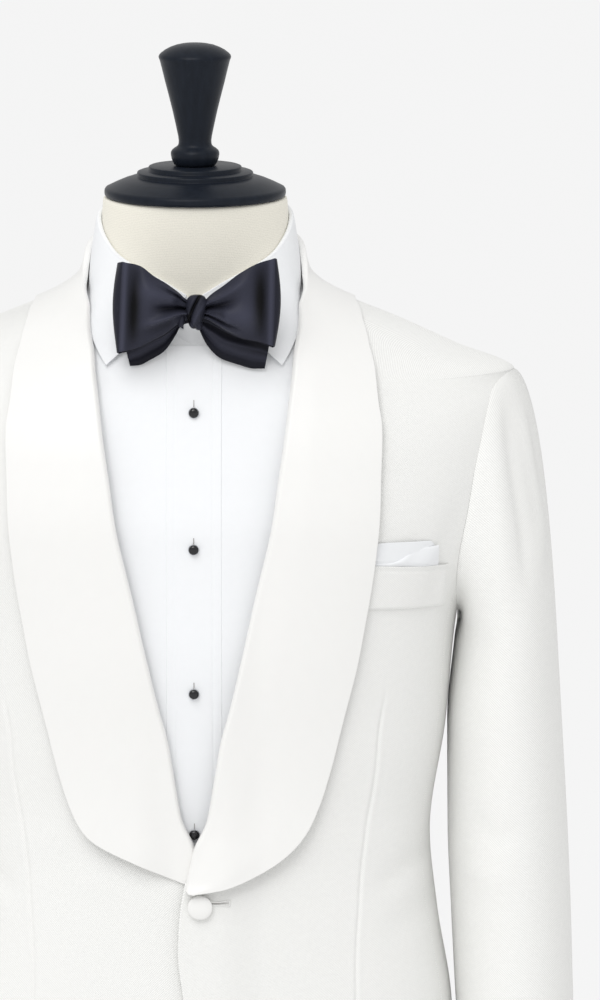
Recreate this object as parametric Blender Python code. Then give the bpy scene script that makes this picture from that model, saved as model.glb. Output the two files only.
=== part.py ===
"""A white shawl-collar tuxedo on a tailor's bust form: dinner jacket, dress shirt and bow tie.

Metres, +Z up. The front faces -Y and the wearer's left is +X. The origin is on the floor, at the middle of
the stand's round base. A place on a garment is given by an angle round the body (0 at centre front, 90 at the
wearer's left, 180 at centre back), a height above the floor and a lift off the garment's own surface.
"""

import math

import bmesh
import bpy
import numpy as np

# ---------------------------------------------------------------- driving sizes
SEAM_GAP = 0.0003          # between two pieces that are sewn to each other
JACKET_CLOTH = 0.0020
JACKET_HEM = 0.262
NECK_SEAM = 1.002          # where the collar is sewn to the jacket body
SHOULDER_TIP = 0.952
ARMPIT = 0.777
ARMHOLE_MIDDLE = 0.845     # height where the armhole is deepest front to back
ARMHOLE_Y = 0.0065         # middle of the armhole, front to back
ARMHOLE_DEPTH = 0.067      # half its size, front to back
RIDGE_Y = 0.008            # y of the shoulder seam
SIDE_SEAM_FRONT = -0.046   # y of the seam between the front and the side body
SIDE_SEAM_BACK = 0.058     # y of the seam between the side body and the back
SLEEVE_CLOTH = 0.0018
SLEEVE_GAP = 0.0005        # between the armhole edge and the sleeve head
LAP_LIFT = 0.0062          # how far the left front stands off where it laps over the right
SHAWL_CLOTH = 0.0018
SHAWL_NECK_CLOTH = 0.0012  # round the neck, where the layers are pressed thin
SHAWL_ROLL_LIFT = 0.0020   # between the jacket front and the underside of the shawl, at the roll line
SHAWL_CHEST_LIFT = 0.0034  # the same on the chest, away from the roll line
SHAWL_NECK_LIFT = 0.0012   # the same round the neck
SHAWL_TUCK_LIFT = 0.0010   # the same where the right shawl goes under the left front
SHAWL_BELLY = 0.0045       # how much more the shawl's rounded lower end stands off
STAND_LAYER = (-0.0022, -0.0012)   # inside and outside of the jacket's collar stand
WELT_LAYER = (0.0009, 0.0022)      # lift and cloth of the breast welt
SQUARE_LAYER = (0.0009, 0.0016)    # lift and cloth of the folded pocket square
BUTTON_LIFT = 0.0012       # length of the button's thread shank
SHIRT_CLOTH = 0.0010
SHIRT_FRONT_LIFT = 0.0023  # between the form and the shirt's fronts
SHIRT_BACK_LIFT = 0.0020   # the same at the back
SHIRT_HEM = 0.300
PLACKET_WIDTH = 0.038
PLACKET_LIFT = 0.0046      # between the form and the underside of the placket
PLACKET_CLOTH = 0.0012
BAND_LAYER = (0.0009, 0.0015)      # inside and outside of the shirt's collar band, off the form
STRIP_LAYER = (0.0024, 0.0029)     # inside and outside of the bow tie's neck strip, off the form
LEAF_FOLD_LIFT = 0.0030            # the shirt collar leaf's inside at its fold, off the form
LEAF_CLOTH = 0.0008
SATIN_CLOTH = 0.0011       # the bow tie's doubled satin
STUD_HEIGHTS = (0.6359, 0.7394, 0.8422, 0.9345)
STUD_RADIUS = 0.0038
STUD_GAP = 0.0008          # between the placket and a stud's back
BUTTON_RADIUS = 0.0090
BUTTON_PLACE = (0.0030, 0.5835)
NECK_TOP = 1.077
FORM_BOTTOM = 0.276
BASE_RADIUS = 0.190
BASE_HEIGHT = 0.030
POLE_RADIUS = 0.014
CAP_Y = 0.004              # the neck leans, so its top is this far behind the pole

# ---------------------------------------------------------------- section tables
# height, half width, front y, back y, y of the widest point, squareness of the ring
JACKET_RINGS = (
    (0.262, 0.1960, -0.126, 0.121, -0.004, 2.3),
    (0.360, 0.1925, -0.124, 0.121, -0.004, 2.3),
    (0.494, 0.1850, -0.121, 0.108, -0.006, 2.3),
    (0.560, 0.1745, -0.119, 0.096, -0.007, 2.3),
    (0.618, 0.1690, -0.118, 0.089, -0.007, 2.3),
    (0.697, 0.1800, -0.122, 0.097, -0.005, 2.3),
    (0.777, 0.1880, -0.127, 0.108, -0.002, 2.3),
    (0.850, 0.2130, -0.126, 0.114, 0.002, 2.25),
    (0.900, 0.2240, -0.117, 0.114, 0.005, 2.1),
    (0.930, 0.2285, -0.108, 0.113, 0.007, 1.85),
    (0.952, 0.2290, -0.098, 0.111, 0.008, 1.55),
    (0.970, 0.1886, -0.090, 0.106, 0.008, 1.55),
    (0.988, 0.1480, -0.081, 0.100, 0.008, 1.7),
    (1.002, 0.1120, -0.073, 0.092, 0.008, 1.85),
    (1.007, 0.1010, -0.070, 0.090, 0.008, 1.9),
    (1.014, 0.0895, -0.066, 0.087, 0.008, 2.0),
    (1.023, 0.0808, -0.062, 0.083, 0.008, 2.0),
    (1.036, 0.0771, -0.060, 0.080, 0.008, 2.0),
    (1.052, 0.0755, -0.058, 0.078, 0.008, 2.0),
)
FORM_RINGS = (
    (0.276, 0.150, -0.098, 0.100, -0.003, 2.2),
    (0.290, 0.164, -0.107, 0.110, -0.003, 2.2),
    (0.350, 0.170, -0.110, 0.113, -0.003, 2.2),
    (0.450, 0.165, -0.107, 0.099, -0.004, 2.2),
    (0.600, 0.150, -0.102, 0.078, -0.005, 2.2),
    (0.700, 0.160, -0.108, 0.084, -0.003, 2.2),
    (0.780, 0.170, -0.114, 0.096, 0.000, 2.2),
    (0.850, 0.184, -0.113, 0.102, 0.003, 2.2),
    (0.890, 0.194, -0.105, 0.102, 0.006, 2.2),
    (0.920, 0.199, -0.096, 0.099, 0.008, 2.1),
    (0.938, 0.196, -0.089, 0.097, 0.008, 1.95),
    (0.950, 0.187, -0.083, 0.094, 0.008, 1.85),
    (0.968, 0.163, -0.076, 0.090, 0.008, 1.85),
    (0.988, 0.116, -0.067, 0.085, 0.008, 1.95),
    (1.001, 0.089, -0.061, 0.081, 0.008, 2.0),
    (1.012, 0.0755, -0.058, 0.078, 0.008, 2.0),
    (1.025, 0.0702, -0.056, 0.075, 0.008, 2.0),
    (1.045, 0.0680, -0.055, 0.071, 0.008, 2.0),
    (1.077, 0.0658, -0.057, 0.067, 0.005, 2.0),
)
# height, x of the left front's free edge: cutaway skirt, button stand, then the roll line up to the neck
FRONT_EDGE = (
    (0.262, 0.1000), (0.268, 0.0800), (0.282, 0.0620), (0.310, 0.0460), (0.350, 0.0300),
    (0.400, 0.0140), (0.450, 0.0015), (0.500, -0.0080), (0.550, -0.0127), (0.575, -0.0120),
    (0.600, -0.0086), (0.6285, -0.0024), (0.660, 0.0072), (0.697, 0.0165), (0.730, 0.0255),
    (0.768, 0.0345), (0.808, 0.0435), (0.845, 0.0525), (0.891, 0.0600), (0.928, 0.0655),
    (0.962, 0.0700), (0.985, 0.0728), (1.005, 0.0745),
)
# the shawl on the chest: x and height of the roll line, x and height of the outer edge
SHAWL_FRONT = (
    (-0.0086, 0.6025, -0.0040, 0.5950),
    (-0.0072, 0.6110, 0.0186, 0.5993),
    (-0.0024, 0.6285, 0.0430, 0.6083),
    (0.0045, 0.6520, 0.0640, 0.6217),
    (0.0110, 0.6760, 0.0779, 0.6372),
    (0.0185, 0.7040, 0.0883, 0.6579),
    (0.0255, 0.7300, 0.0962, 0.6816),
    (0.0345, 0.7680, 0.1070, 0.7240),
    (0.0435, 0.8080, 0.1171, 0.7655),
    (0.0525, 0.8450, 0.1255, 0.8100),
    (0.0600, 0.8910, 0.1318, 0.8540),
    (0.0655, 0.9280, 0.1336, 0.9000),
    (0.0700, 0.9620, 0.1318, 0.9380),
    (0.0728, 0.9850, 0.1262, 0.9700),
    (0.0745, 1.0050, 0.1190, 0.9920),
)
# the shawl round the neck: angle and height of the fold, angle and height of the outer edge
SHAWL_NECK = (
    (78.0, 1.0240, 90.0, 1.0015),
    (94.0, 1.0400, 110.0, 0.9970),
    (112.0, 1.0465, 128.0, 0.9900),
    (136.0, 1.0485, 147.0, 0.9860),
    (160.0, 1.0495, 164.0, 0.9840),
    (180.0, 1.0500, 180.0, 0.9835),
)
# height, inner x, outer x, front y, back y of the left sleeve
SLEEVE_RINGS = (
    (0.325, 0.1980, 0.2765, -0.080, 0.026),
    (0.400, 0.1945, 0.2765, -0.077, 0.036),
    (0.494, 0.1880, 0.2735, -0.073, 0.049),
    (0.560, 0.1852, 0.2715, -0.070, 0.057),
    (0.618, 0.1838, 0.2690, -0.069, 0.064),
    (0.697, 0.1838, 0.2645, -0.067, 0.070),
    (0.757, 0.1895, 0.2610, -0.065, 0.074),
)
# angle, top height of the shirt collar band
BAND_TOP = (
    (0.0, 1.0185), (20.0, 1.0280), (55.0, 1.0440), (68.0, 1.0520),
    (90.0, 1.0640), (135.0, 1.0730), (180.0, 1.0760),
)
BAND_HEIGHT = 0.030
# share of the way round, fold angle, then angle, height and lift of the leaf's lower edge
COLLAR_LEAF = (
    (0.00, 4.0, 40.5, 0.9740, 0.0062),
    (0.15, 22.0, 47.0, 0.9850, 0.0058),
    (0.30, 48.0, 60.0, 1.0000, 0.0050),
    (0.50, 90.0, 90.0, 1.0225, 0.0044),
    (0.75, 135.0, 135.0, 1.0335, 0.0037),
    (1.00, 180.0, 180.0, 1.0375, 0.0037),
)
# distance out from the knot's middle, y of the front layer, y of the back layer, top and bottom height of a wing
WING = (
    (0.0088, -0.0960, -0.0905, 1.0150, 1.0010),
    (0.0185, -0.1010, -0.0890, 1.0240, 0.9960),
    (0.0320, -0.1020, -0.0870, 1.0345, 0.9885),
    (0.0455, -0.0980, -0.0850, 1.0425, 0.9840),
    (0.0545, -0.0930, -0.0845, 1.0440, 0.9820),
    (0.0580, -0.0890, -0.0865, 1.0400, 0.9850),
)
# distance out from the knot's middle, y, top and bottom height of a hanging end
HANGING_END = (
    (0.0030, -0.0835, 1.0060, 0.9970),
    (0.0150, -0.0830, 1.0110, 0.9790),
    (0.0310, -0.0815, 1.0190, 0.9705),
    (0.0450, -0.0800, 1.0250, 0.9670),
    (0.0525, -0.0790, 1.0270, 0.9780),
)
KNOT_PLACE = (0.0013, -0.0965, 1.0075)
KNOT_HALF = (0.0082, 0.0080, 0.0125)
# radius and height of the turned pieces' outlines, bottom to top
CAP_PROFILE = (
    (0.0, 0.0), (0.0632, 0.0), (0.0650, 0.0015), (0.0650, 0.0050), (0.0636, 0.0064), (0.0540, 0.0108),
    (0.0450, 0.0136), (0.0415, 0.0146), (0.0415, 0.0168), (0.0405, 0.0178), (0.0335, 0.0186),
    (0.0330, 0.0211), (0.0318, 0.0220), (0.0, 0.0220),
)
FINIAL_PROFILE = (
    (0.0, 0.0), (0.0146, 0.0), (0.0164, 0.0030), (0.0174, 0.0070), (0.0172, 0.0098), (0.0152, 0.0124),
    (0.0124, 0.0141), (0.0116, 0.0165), (0.0118, 0.0200), (0.0160, 0.0385), (0.0212, 0.0590),
    (0.0252, 0.0752), (0.0260, 0.0774), (0.0256, 0.0790), (0.0215, 0.0826), (0.0150, 0.0855),
    (0.0080, 0.0871), (0.0, 0.0876),
)
BASE_PROFILE = (
    (0.0, 0.0), (BASE_RADIUS - 0.003, 0.0), (BASE_RADIUS, 0.003), (BASE_RADIUS, 0.011),
    (BASE_RADIUS - 0.003, 0.014), (0.120, 0.0185), (0.060, 0.0215), (0.036, 0.0225),
    (0.034, 0.0290), (0.031, BASE_HEIGHT), (0.0, BASE_HEIGHT),
)
# inner low, outer low, outer top and inner top corners of the breast welt and of the pocket square
WELT_CORNERS = ((0.1365, 0.7955), (0.1790, 0.7975), (0.1815, 0.8275), (0.1365, 0.8265))
SQUARE_CORNERS = ((0.1365, 0.8300), (0.1745, 0.8300), (0.1745, 0.8425), (0.1365, 0.8425))

# ---------------------------------------------------------------- grids
# share of the way up a side seam, and the height that the same row has on the front's free edge
SEAM_ROWS = (
    (0.00, 0.262), (0.09, 0.268), (0.19, 0.290), (0.31, 0.335), (0.43, 0.400),
    (0.54, 0.480), (0.64, 0.550), (0.74, 0.620), (0.86, 0.710), (1.00, 0.803),
)
SIDE_COLUMNS = 3
FRONT_COLUMNS = 8
BACK_COLUMNS = 6
SHOULDER_ROWS = (0.967, 0.980, 0.992, NECK_SEAM)
ARMHOLE_ROWS = 7           # from the top of a side seam to the shoulder tip
SHAWL_STATIONS = 22
SHAWL_COLUMNS = 5
SLEEVE_HEAD_ROWS = 5
FORM_COLUMNS = 36
TORSO_ROWS = (0.380, 0.500, 0.610, 0.720, 0.800, 0.860, 0.895, 0.920, 0.938, 0.952, 0.970, 0.986)
FORM_ROWS = (FORM_BOTTOM, 0.290, *TORSO_ROWS, 1.001, 1.012, 1.025, 1.050, NECK_TOP)
SHIRT_ROWS = (SHIRT_HEM, *TORSO_ROWS)
SHIRT_COLUMNS = 9
SHIRT_NECK_SHARES = (0.35, 0.62, 0.82, 1.0)   # from the last of those rows up to the collar band
TURNED_STEPS = 28
TRIM_STEPS = 12


def clear_scene():
    for item in list(bpy.data.objects):
        bpy.data.objects.remove(item)


def material(name, colour, roughness, metallic=0.0):
    made = bpy.data.materials.new(name)
    made.use_nodes = True
    shader = made.node_tree.nodes["Principled BSDF"]
    shader.inputs["Base Color"].default_value = (*colour, 1.0)
    shader.inputs["Roughness"].default_value = roughness
    shader.inputs["Metallic"].default_value = metallic
    return made


# ---------------------------------------------------------------- smooth tables and rings
def read_table(keys, values, at):
    """The table's value at any key, on a monotone cubic that never overshoots a row."""
    keys, values = np.asarray(keys, float), np.asarray(values, float)
    at = np.clip(at, keys[0], keys[-1])
    step = np.diff(keys)
    slope = np.diff(values) / step
    tangent = np.concatenate([slope[:1], np.zeros(len(slope) - 1), slope[-1:]])
    for i in range(1, len(slope)):
        if slope[i - 1] * slope[i] > 0:
            tangent[i] = 2 * slope[i - 1] * slope[i] / (slope[i - 1] + slope[i])
    i = np.clip(np.searchsorted(keys, at) - 1, 0, len(step) - 1)
    t = (at - keys[i]) / step[i]
    return (
        (2 * t**3 - 3 * t**2 + 1) * values[i]
        + (t**3 - 2 * t**2 + t) * step[i] * tangent[i]
        + (3 * t**2 - 2 * t**3) * values[i + 1]
        + (t**3 - t**2) * step[i] * tangent[i + 1]
    )


def ease(share):
    """0 below 0, 1 above 1, and a smooth step between."""
    share = np.clip(share, 0, 1)
    return share * share * (3 - 2 * share)


class Rings:
    """A body's surface, made of horizontal rings that are read smoothly from a table."""

    def __init__(self, rows):
        self.heights, *self.columns = np.array(rows, float).T

    def ring(self, height):
        return [read_table(self.heights, column, height) for column in self.columns]

    def point(self, angle, height):
        angle, height = np.broadcast_arrays(np.asarray(angle, float), np.asarray(height, float))
        half_width, front, back, middle, square = self.ring(height)
        sine, cosine = np.sin(np.radians(angle)), np.cos(np.radians(angle))
        depth = np.where(cosine > 0, middle - front, back - middle)
        reach = ((np.abs(sine) / half_width) ** square + (np.abs(cosine) / depth) ** square) ** (-1 / square)
        return np.stack([reach * sine, middle - reach * cosine, height], axis=-1)

    def outward(self, angle, height):
        small_angle, small_height = 0.2, 0.0004
        across = self.point(angle + small_angle, height) - self.point(angle - small_angle, height)
        up = self.point(angle, height + small_height) - self.point(angle, height - small_height)
        normal = np.cross(across, up)
        return normal / np.linalg.norm(normal, axis=-1, keepdims=True)

    def at(self, angle, height, lift):
        angle, height = np.asarray(angle, float), np.asarray(height, float)
        return self.point(angle, height) + self.outward(angle, height) * np.asarray(lift, float)[..., None]

    def _angle_where(self, value, height, axis, most):
        value, height = np.broadcast_arrays(np.asarray(value, float), np.asarray(height, float))
        low, high = np.zeros(value.shape), np.full(value.shape, most)
        for _ in range(40):
            middle = (low + high) / 2
            below = self.point(middle, height)[..., axis] < value
            low, high = np.where(below, middle, low), np.where(below, high, middle)
        return (low + high) / 2

    def angle_of_x(self, x, height):
        """The angle on the front half where the surface has that x."""
        return np.sign(x) * self._angle_where(np.abs(x), height, 0, 90.0)

    def angle_of_y(self, y, height):
        """The angle on the wearer's left where the surface has that y."""
        return self._angle_where(y, height, 1, 180.0)


JACKET = Rings(JACKET_RINGS)
FORM = Rings(FORM_RINGS)


# ---------------------------------------------------------------- meshes
def add_mesh(name, points, faces, finish, smooth=True):
    mesh = bpy.data.meshes.new(name)
    mesh.from_pydata([tuple(map(float, p)) for p in points], [], faces)
    work = bmesh.new()
    work.from_mesh(mesh)
    bmesh.ops.recalc_face_normals(work, faces=work.faces)
    work.to_mesh(mesh)
    work.free()
    mesh.materials.append(finish)
    if smooth:
        mesh.shade_smooth()
        mesh.set_sharp_from_angle(angle=math.radians(50))
    made = bpy.data.objects.new(name, mesh)
    bpy.context.scene.collection.objects.link(made)
    return made


def wall(name, outer, inner, finish, side=1):
    """A cloth wall between two grids of points, closed along its four edges. side -1 mirrors it in x."""
    rows, columns = outer.shape[:2]
    points = np.concatenate([outer.reshape(-1, 3), inner.reshape(-1, 3)]) * (side, 1, 1)
    back = rows * columns
    index = np.arange(back).reshape(rows, columns)
    faces = []
    for r in range(rows - 1):
        for c in range(columns - 1):
            low, high = (index[r, c], index[r, c + 1]), (index[r + 1, c], index[r + 1, c + 1])
            # Both faces of the cloth are split along the same diagonal, so that they keep their distance.
            for corners in ((low[0], low[1], high[1]), (low[0], high[1], high[0])):
                faces.append(tuple(map(int, corners)))
                faces.append(tuple(int(i) + back for i in reversed(corners)))
    rim = [*index[0], *index[1:, -1], *index[-1, -2::-1], *index[-2:0:-1, 0]]
    for a, b in zip(rim, rim[1:] + rim[:1]):
        faces.append((int(b), int(a), int(a) + back, int(b) + back))
    return add_mesh(name, points, faces, finish)


def surface_wall(name, rings, angle, height, inside, outside, finish, side=1):
    """A wall that follows a body's rings, between two lifts."""
    angle, height = np.broadcast_arrays(angle, height)
    outer = rings.at(angle, height, np.broadcast_to(outside, angle.shape))
    inner = rings.at(angle, height, np.broadcast_to(inside, angle.shape))
    return wall(name, outer, inner, finish, side)


def turned(name, profile, finish, place=(0, 0, 0), tilt=0.0, steps=TURNED_STEPS):
    """A solid turned about its own upright axis from (radius, height) points, bottom to top."""
    work = bmesh.new()
    verts = [work.verts.new((radius, 0, height)) for radius, height in profile]
    edges = [work.edges.new(pair) for pair in zip(verts, verts[1:])]
    bmesh.ops.spin(
        work, geom=verts + edges, cent=(0, 0, 0), axis=(0, 0, 1),
        angle=2 * math.pi, steps=steps, use_merge=True,
    )
    bmesh.ops.remove_doubles(work, verts=work.verts, dist=1e-6)
    bmesh.ops.recalc_face_normals(work, faces=work.faces)
    mesh = bpy.data.meshes.new(name)
    work.to_mesh(mesh)
    work.free()
    mesh.materials.append(finish)
    mesh.shade_smooth()
    mesh.set_sharp_from_angle(angle=math.radians(35))
    made = bpy.data.objects.new(name, mesh)
    made.location = place
    made.rotation_euler = (tilt, 0, 0)
    bpy.context.scene.collection.objects.link(made)
    return made


def between(first, last, count):
    """Grid columns that run evenly from one edge to the other, row by row."""
    share = np.linspace(0, 1, count)
    return first[:, None] * (1 - share) + last[:, None] * share


# ---------------------------------------------------------------- the armhole
def armhole_height(y):
    """Height of the armhole's lower edge at this y."""
    drop = math.sqrt(max(0.0, 1 - ((y - ARMHOLE_Y) / ARMHOLE_DEPTH) ** 2))
    return ARMHOLE_MIDDLE - (ARMHOLE_MIDDLE - ARMPIT) * drop


def armhole_reach(height):
    """How far the armhole's edge lies before or behind its middle at this height."""
    rise = SHOULDER_TIP - ARMHOLE_MIDDLE if height > ARMHOLE_MIDDLE else ARMHOLE_MIDDLE - ARMPIT
    return ARMHOLE_DEPTH * math.sqrt(max(0.0, 1 - ((height - ARMHOLE_MIDDLE) / rise) ** 2))


def armhole_rows(seam_y):
    """Heights from the top of a side seam to the shoulder tip, closer together near the tip."""
    low = armhole_height(seam_y)
    turn = np.linspace(math.acos(-(ARMHOLE_MIDDLE - low) / (ARMHOLE_MIDDLE - ARMPIT)), 0, ARMHOLE_ROWS + 1)
    rise = np.where(np.cos(turn) > 0, SHOULDER_TIP - ARMHOLE_MIDDLE, ARMHOLE_MIDDLE - ARMPIT)
    return ARMHOLE_MIDDLE + rise * np.cos(turn)


def side_point(y, height):
    """The point on the wearer's left of the jacket body with that y and height."""
    return JACKET.point(JACKET.angle_of_y(y, height), height)


def armhole_points():
    """Points round the left armhole: front seam, over the shoulder tip, back seam, then under the arm."""
    front = [(ARMHOLE_Y - armhole_reach(z), z) for z in armhole_rows(SIDE_SEAM_FRONT)]
    back = [(ARMHOLE_Y + armhole_reach(z), z) for z in armhole_rows(SIDE_SEAM_BACK)][::-1]
    under = [(y, armhole_height(y)) for y in np.linspace(SIDE_SEAM_BACK, SIDE_SEAM_FRONT, SIDE_COLUMNS + 1)]
    front[-1] = (RIDGE_Y, SHOULDER_TIP)
    return front + back[1:] + under[1:-1]


# ---------------------------------------------------------------- the jacket
def lap_lift(x, height, side):
    """The left front and what lies on it stand off the body where they lap over the right front."""
    if side < 0:
        return np.zeros(np.broadcast(x, height).shape)
    return LAP_LIFT * ease((0.050 - x) / 0.034) * ease((height - 0.36) / 0.08)


def half_gap(height):
    """Half a seam gap as an angle at this height."""
    return np.degrees(SEAM_GAP / 2 / JACKET.ring(height)[0])


def seam_heights(y):
    """Heights of the shared rows at the place y on a side seam or the side body."""
    return JACKET_HEM + np.array(SEAM_ROWS)[:, 0] * (armhole_height(y) - JACKET_HEM)


def panel_side(seam_y, away):
    """Heights and angles up a panel's side: the side seam, the armhole's edge, then the shoulder seam."""
    seam = seam_heights(seam_y)
    hole = armhole_rows(seam_y)[1:]
    edge_y = [ARMHOLE_Y + away * armhole_reach(z) for z in hole[:-1]]
    height = np.concatenate([seam, hole, SHOULDER_ROWS])
    angle = np.full(len(height), 90.0)
    angle[:len(seam)] = JACKET.angle_of_y(seam_y, seam)
    angle[len(seam):len(seam) + len(edge_y)] = JACKET.angle_of_y(edge_y, hole[:-1])
    return height, angle + away * half_gap(height)


def jacket_front(side, cloth):
    seam_height, seam_angle = panel_side(SIDE_SEAM_FRONT, -1)
    edge_height = seam_height.copy()
    edge_height[:len(SEAM_ROWS)] = np.array(SEAM_ROWS)[:, 1]
    edge_angle = JACKET.angle_of_x(read_table(*np.array(FRONT_EDGE).T, edge_height), edge_height)
    angle = between(edge_angle, seam_angle, FRONT_COLUMNS + 1)
    settle = ease(np.linspace(0, 1.4, FRONT_COLUMNS + 1))
    height = edge_height[:, None] * (1 - settle) + seam_height[:, None] * settle
    lift = lap_lift(JACKET.point(angle, height)[..., 0], height, side)
    name = "jacket_front_left" if side > 0 else "jacket_front_right"
    return surface_wall(name, JACKET, angle, height, lift - JACKET_CLOTH, lift, cloth, side)


def jacket_side(side, cloth):
    seam_y = np.linspace(SIDE_SEAM_FRONT, SIDE_SEAM_BACK, SIDE_COLUMNS + 1)
    height = np.stack([seam_heights(y) for y in seam_y], axis=1)
    angle = JACKET.angle_of_y(np.broadcast_to(seam_y, height.shape), height)
    angle[:, 0] += half_gap(height[:, 0])
    angle[:, -1] -= half_gap(height[:, -1])
    name = "jacket_side_left" if side > 0 else "jacket_side_right"
    return surface_wall(name, JACKET, angle, height, -JACKET_CLOTH, 0.0, cloth, side)


def jacket_back(side, cloth):
    height, seam_angle = panel_side(SIDE_SEAM_BACK, 1)
    angle = between(seam_angle, 180.0 - half_gap(height), BACK_COLUMNS + 1)
    name = "jacket_back_left" if side > 0 else "jacket_back_right"
    return surface_wall(name, JACKET, angle, height[:, None], -JACKET_CLOTH, 0.0, cloth, side)


def shawl_guides(rows):
    """Angle and height of the roll line and of the outer edge, from the button to centre back."""
    front, neck = np.array(SHAWL_FRONT), np.array(SHAWL_NECK)
    roll_angle = np.concatenate([JACKET.angle_of_x(front[:, 0], front[:, 1]), neck[:, 0]])
    edge_angle = np.concatenate([JACKET.angle_of_x(front[:, 2], front[:, 3]), neck[:, 2]])
    roll_height = np.concatenate([front[:, 1], neck[:, 1]])
    edge_height = np.concatenate([front[:, 3], neck[:, 3]])
    station = np.arange(len(roll_angle))
    at = np.linspace(0, station[-1], rows)
    return [read_table(station, guide, at) for guide in (roll_angle, roll_height, edge_angle, edge_height)]


def shawl_lift(share, height, x, side):
    """How far the underside of the shawl stands off the jacket, across its width."""
    neck = ease((height - 0.985) / 0.030)
    chest = SHAWL_ROLL_LIFT + (SHAWL_CHEST_LIFT - SHAWL_ROLL_LIFT) * ease(share / 0.35) + 0.0010 * share
    free = ease((np.abs(x) - 0.012) / 0.030) if side < 0 else 1.0
    belly = SHAWL_BELLY * ease(share / 0.8) * np.exp(-(((height - 0.615) / 0.045) ** 2))
    chest = SHAWL_TUCK_LIFT + (chest + belly - SHAWL_TUCK_LIFT) * free
    return chest * (1 - neck) + SHAWL_NECK_LIFT * neck


def jacket_shawl(side, satin):
    roll_angle, roll_height, edge_angle, edge_height = shawl_guides(SHAWL_STATIONS)
    centre_back = half_gap(roll_height[-1:])[0]
    roll_angle[-1] -= centre_back
    edge_angle[-1] -= centre_back
    share = np.linspace(0, 1, SHAWL_COLUMNS + 1)
    angle = between(roll_angle, edge_angle, SHAWL_COLUMNS + 1)
    height = between(roll_height, edge_height, SHAWL_COLUMNS + 1)
    x = JACKET.point(angle, height)[..., 0]
    under = shawl_lift(share[None, :], height, x * side, side) + lap_lift(x, height, side)
    thick = SHAWL_CLOTH + (SHAWL_NECK_CLOTH - SHAWL_CLOTH) * ease((height - 0.985) / 0.030)
    name = "jacket_shawl_left" if side > 0 else "jacket_shawl_right"
    return surface_wall(name, JACKET, angle, height, under, under + thick, satin, side)


def collar_stand(cloth):
    """The inner half of the folded collar, from the neck seam up to just under the fold."""
    round_back = np.linspace(84.0, 276.0, 21)
    mirrored = 180 - np.abs(180 - round_back)
    neck = np.array(SHAWL_NECK)
    top = read_table(neck[:, 0], neck[:, 1], mirrored) - 0.0020
    low = NECK_SEAM + 0.0010
    height = low + np.array([0, 0.15, 0.35, 0.6, 1])[:, None] * (top - low)[None, :]
    return surface_wall("jacket_collar_stand", JACKET, round_back, height, *STAND_LAYER, cloth)


# ---------------------------------------------------------------- the sleeves
def sleeve_ring(turn, height):
    """A point round the left sleeve: turn 0 is its outer side, 90 its front, 180 its inner side."""
    rings = np.array(SLEEVE_RINGS)
    inner, outer, front, back = [read_table(rings[:, 0], rings[:, k], height) for k in range(1, 5)]
    turn = np.radians(turn)
    return np.stack([
        (inner + outer) / 2 + (outer - inner) / 2 * np.cos(turn),
        (front + back) / 2 - (back - front) / 2 * np.sin(turn),
        height + 0 * turn,
    ], axis=-1)


def sleeve_surface():
    """Grids of the whole left sleeve's outer and inner points, cuff last, one column per armhole point."""
    hole = np.array(armhole_points())
    start = side_point(hole[:, 0], hole[:, 1]) + (SLEEVE_GAP, 0, 0)
    tip, seat = ARMHOLE_ROWS, int(np.argmin(hole[:, 1]))
    step = np.linalg.norm(np.diff(start, axis=0, append=start[:1]), axis=1)
    along = np.concatenate([[0], np.cumsum(step)])
    count, girth = len(start), along[-1]
    over = along[seat] - along[tip]
    turn = np.array([
        -180 * (along[i] - along[tip]) / over if tip <= i <= seat
        else 180 * ((along[tip] - along[i]) % girth) / (girth - over)
        for i in range(count)
    ])
    turn = np.append(turn, turn[0])
    start = np.vstack([start, start[:1]])
    centre = np.array([0, ARMHOLE_Y, (SHOULDER_TIP + ARMPIT) / 2])
    radial = (start - centre) * (0, 1, 1)
    radial /= np.linalg.norm(radial, axis=1, keepdims=True)
    top_height = SLEEVE_RINGS[-1][0]
    end = sleeve_ring(turn, np.full(len(turn), top_height))
    height_share = ease((start[:, 2] - ARMPIT) / (SHOULDER_TIP - ARMPIT))
    drop = np.linalg.norm(end - start, axis=1)
    leave = np.stack([
        0.020 + 0.040 * height_share,
        -0.012 * (1 - height_share) * np.sign(ARMHOLE_Y - start[:, 1]) * np.abs(radial[:, 1]),
        -0.030 * height_share,
    ], axis=1)
    arrive = np.stack([0.06 * drop * np.cos(np.radians(turn)), 0 * drop, -0.9 * drop], axis=1)
    outer = []
    for t in np.linspace(0, 1, SLEEVE_HEAD_ROWS + 1):
        outer.append(
            (2 * t**3 - 3 * t**2 + 1) * start + (t**3 - 2 * t**2 + t) * leave
            + (3 * t**2 - 2 * t**3) * end + (t**3 - t**2) * arrive
        )
    for ring_row in SLEEVE_RINGS[-2::-1]:
        outer.append(sleeve_ring(turn, np.full(len(turn), ring_row[0])))
    outer = np.array(outer)
    round_way = np.roll(outer[:, :-1], -1, axis=1) - np.roll(outer[:, :-1], 1, axis=1)
    round_way = np.concatenate([round_way, round_way[:, :1]], axis=1)
    down = np.gradient(outer, axis=0)
    normal = np.cross(round_way, down)
    normal /= np.linalg.norm(normal, axis=-1, keepdims=True)
    outside = np.sign(np.sum(normal[-1] * (outer[-1] - outer[-1].mean(axis=0)), axis=-1))
    normal *= outside[None, :, None]
    normal[0] = radial
    return outer, outer - normal * SLEEVE_CLOTH


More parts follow.
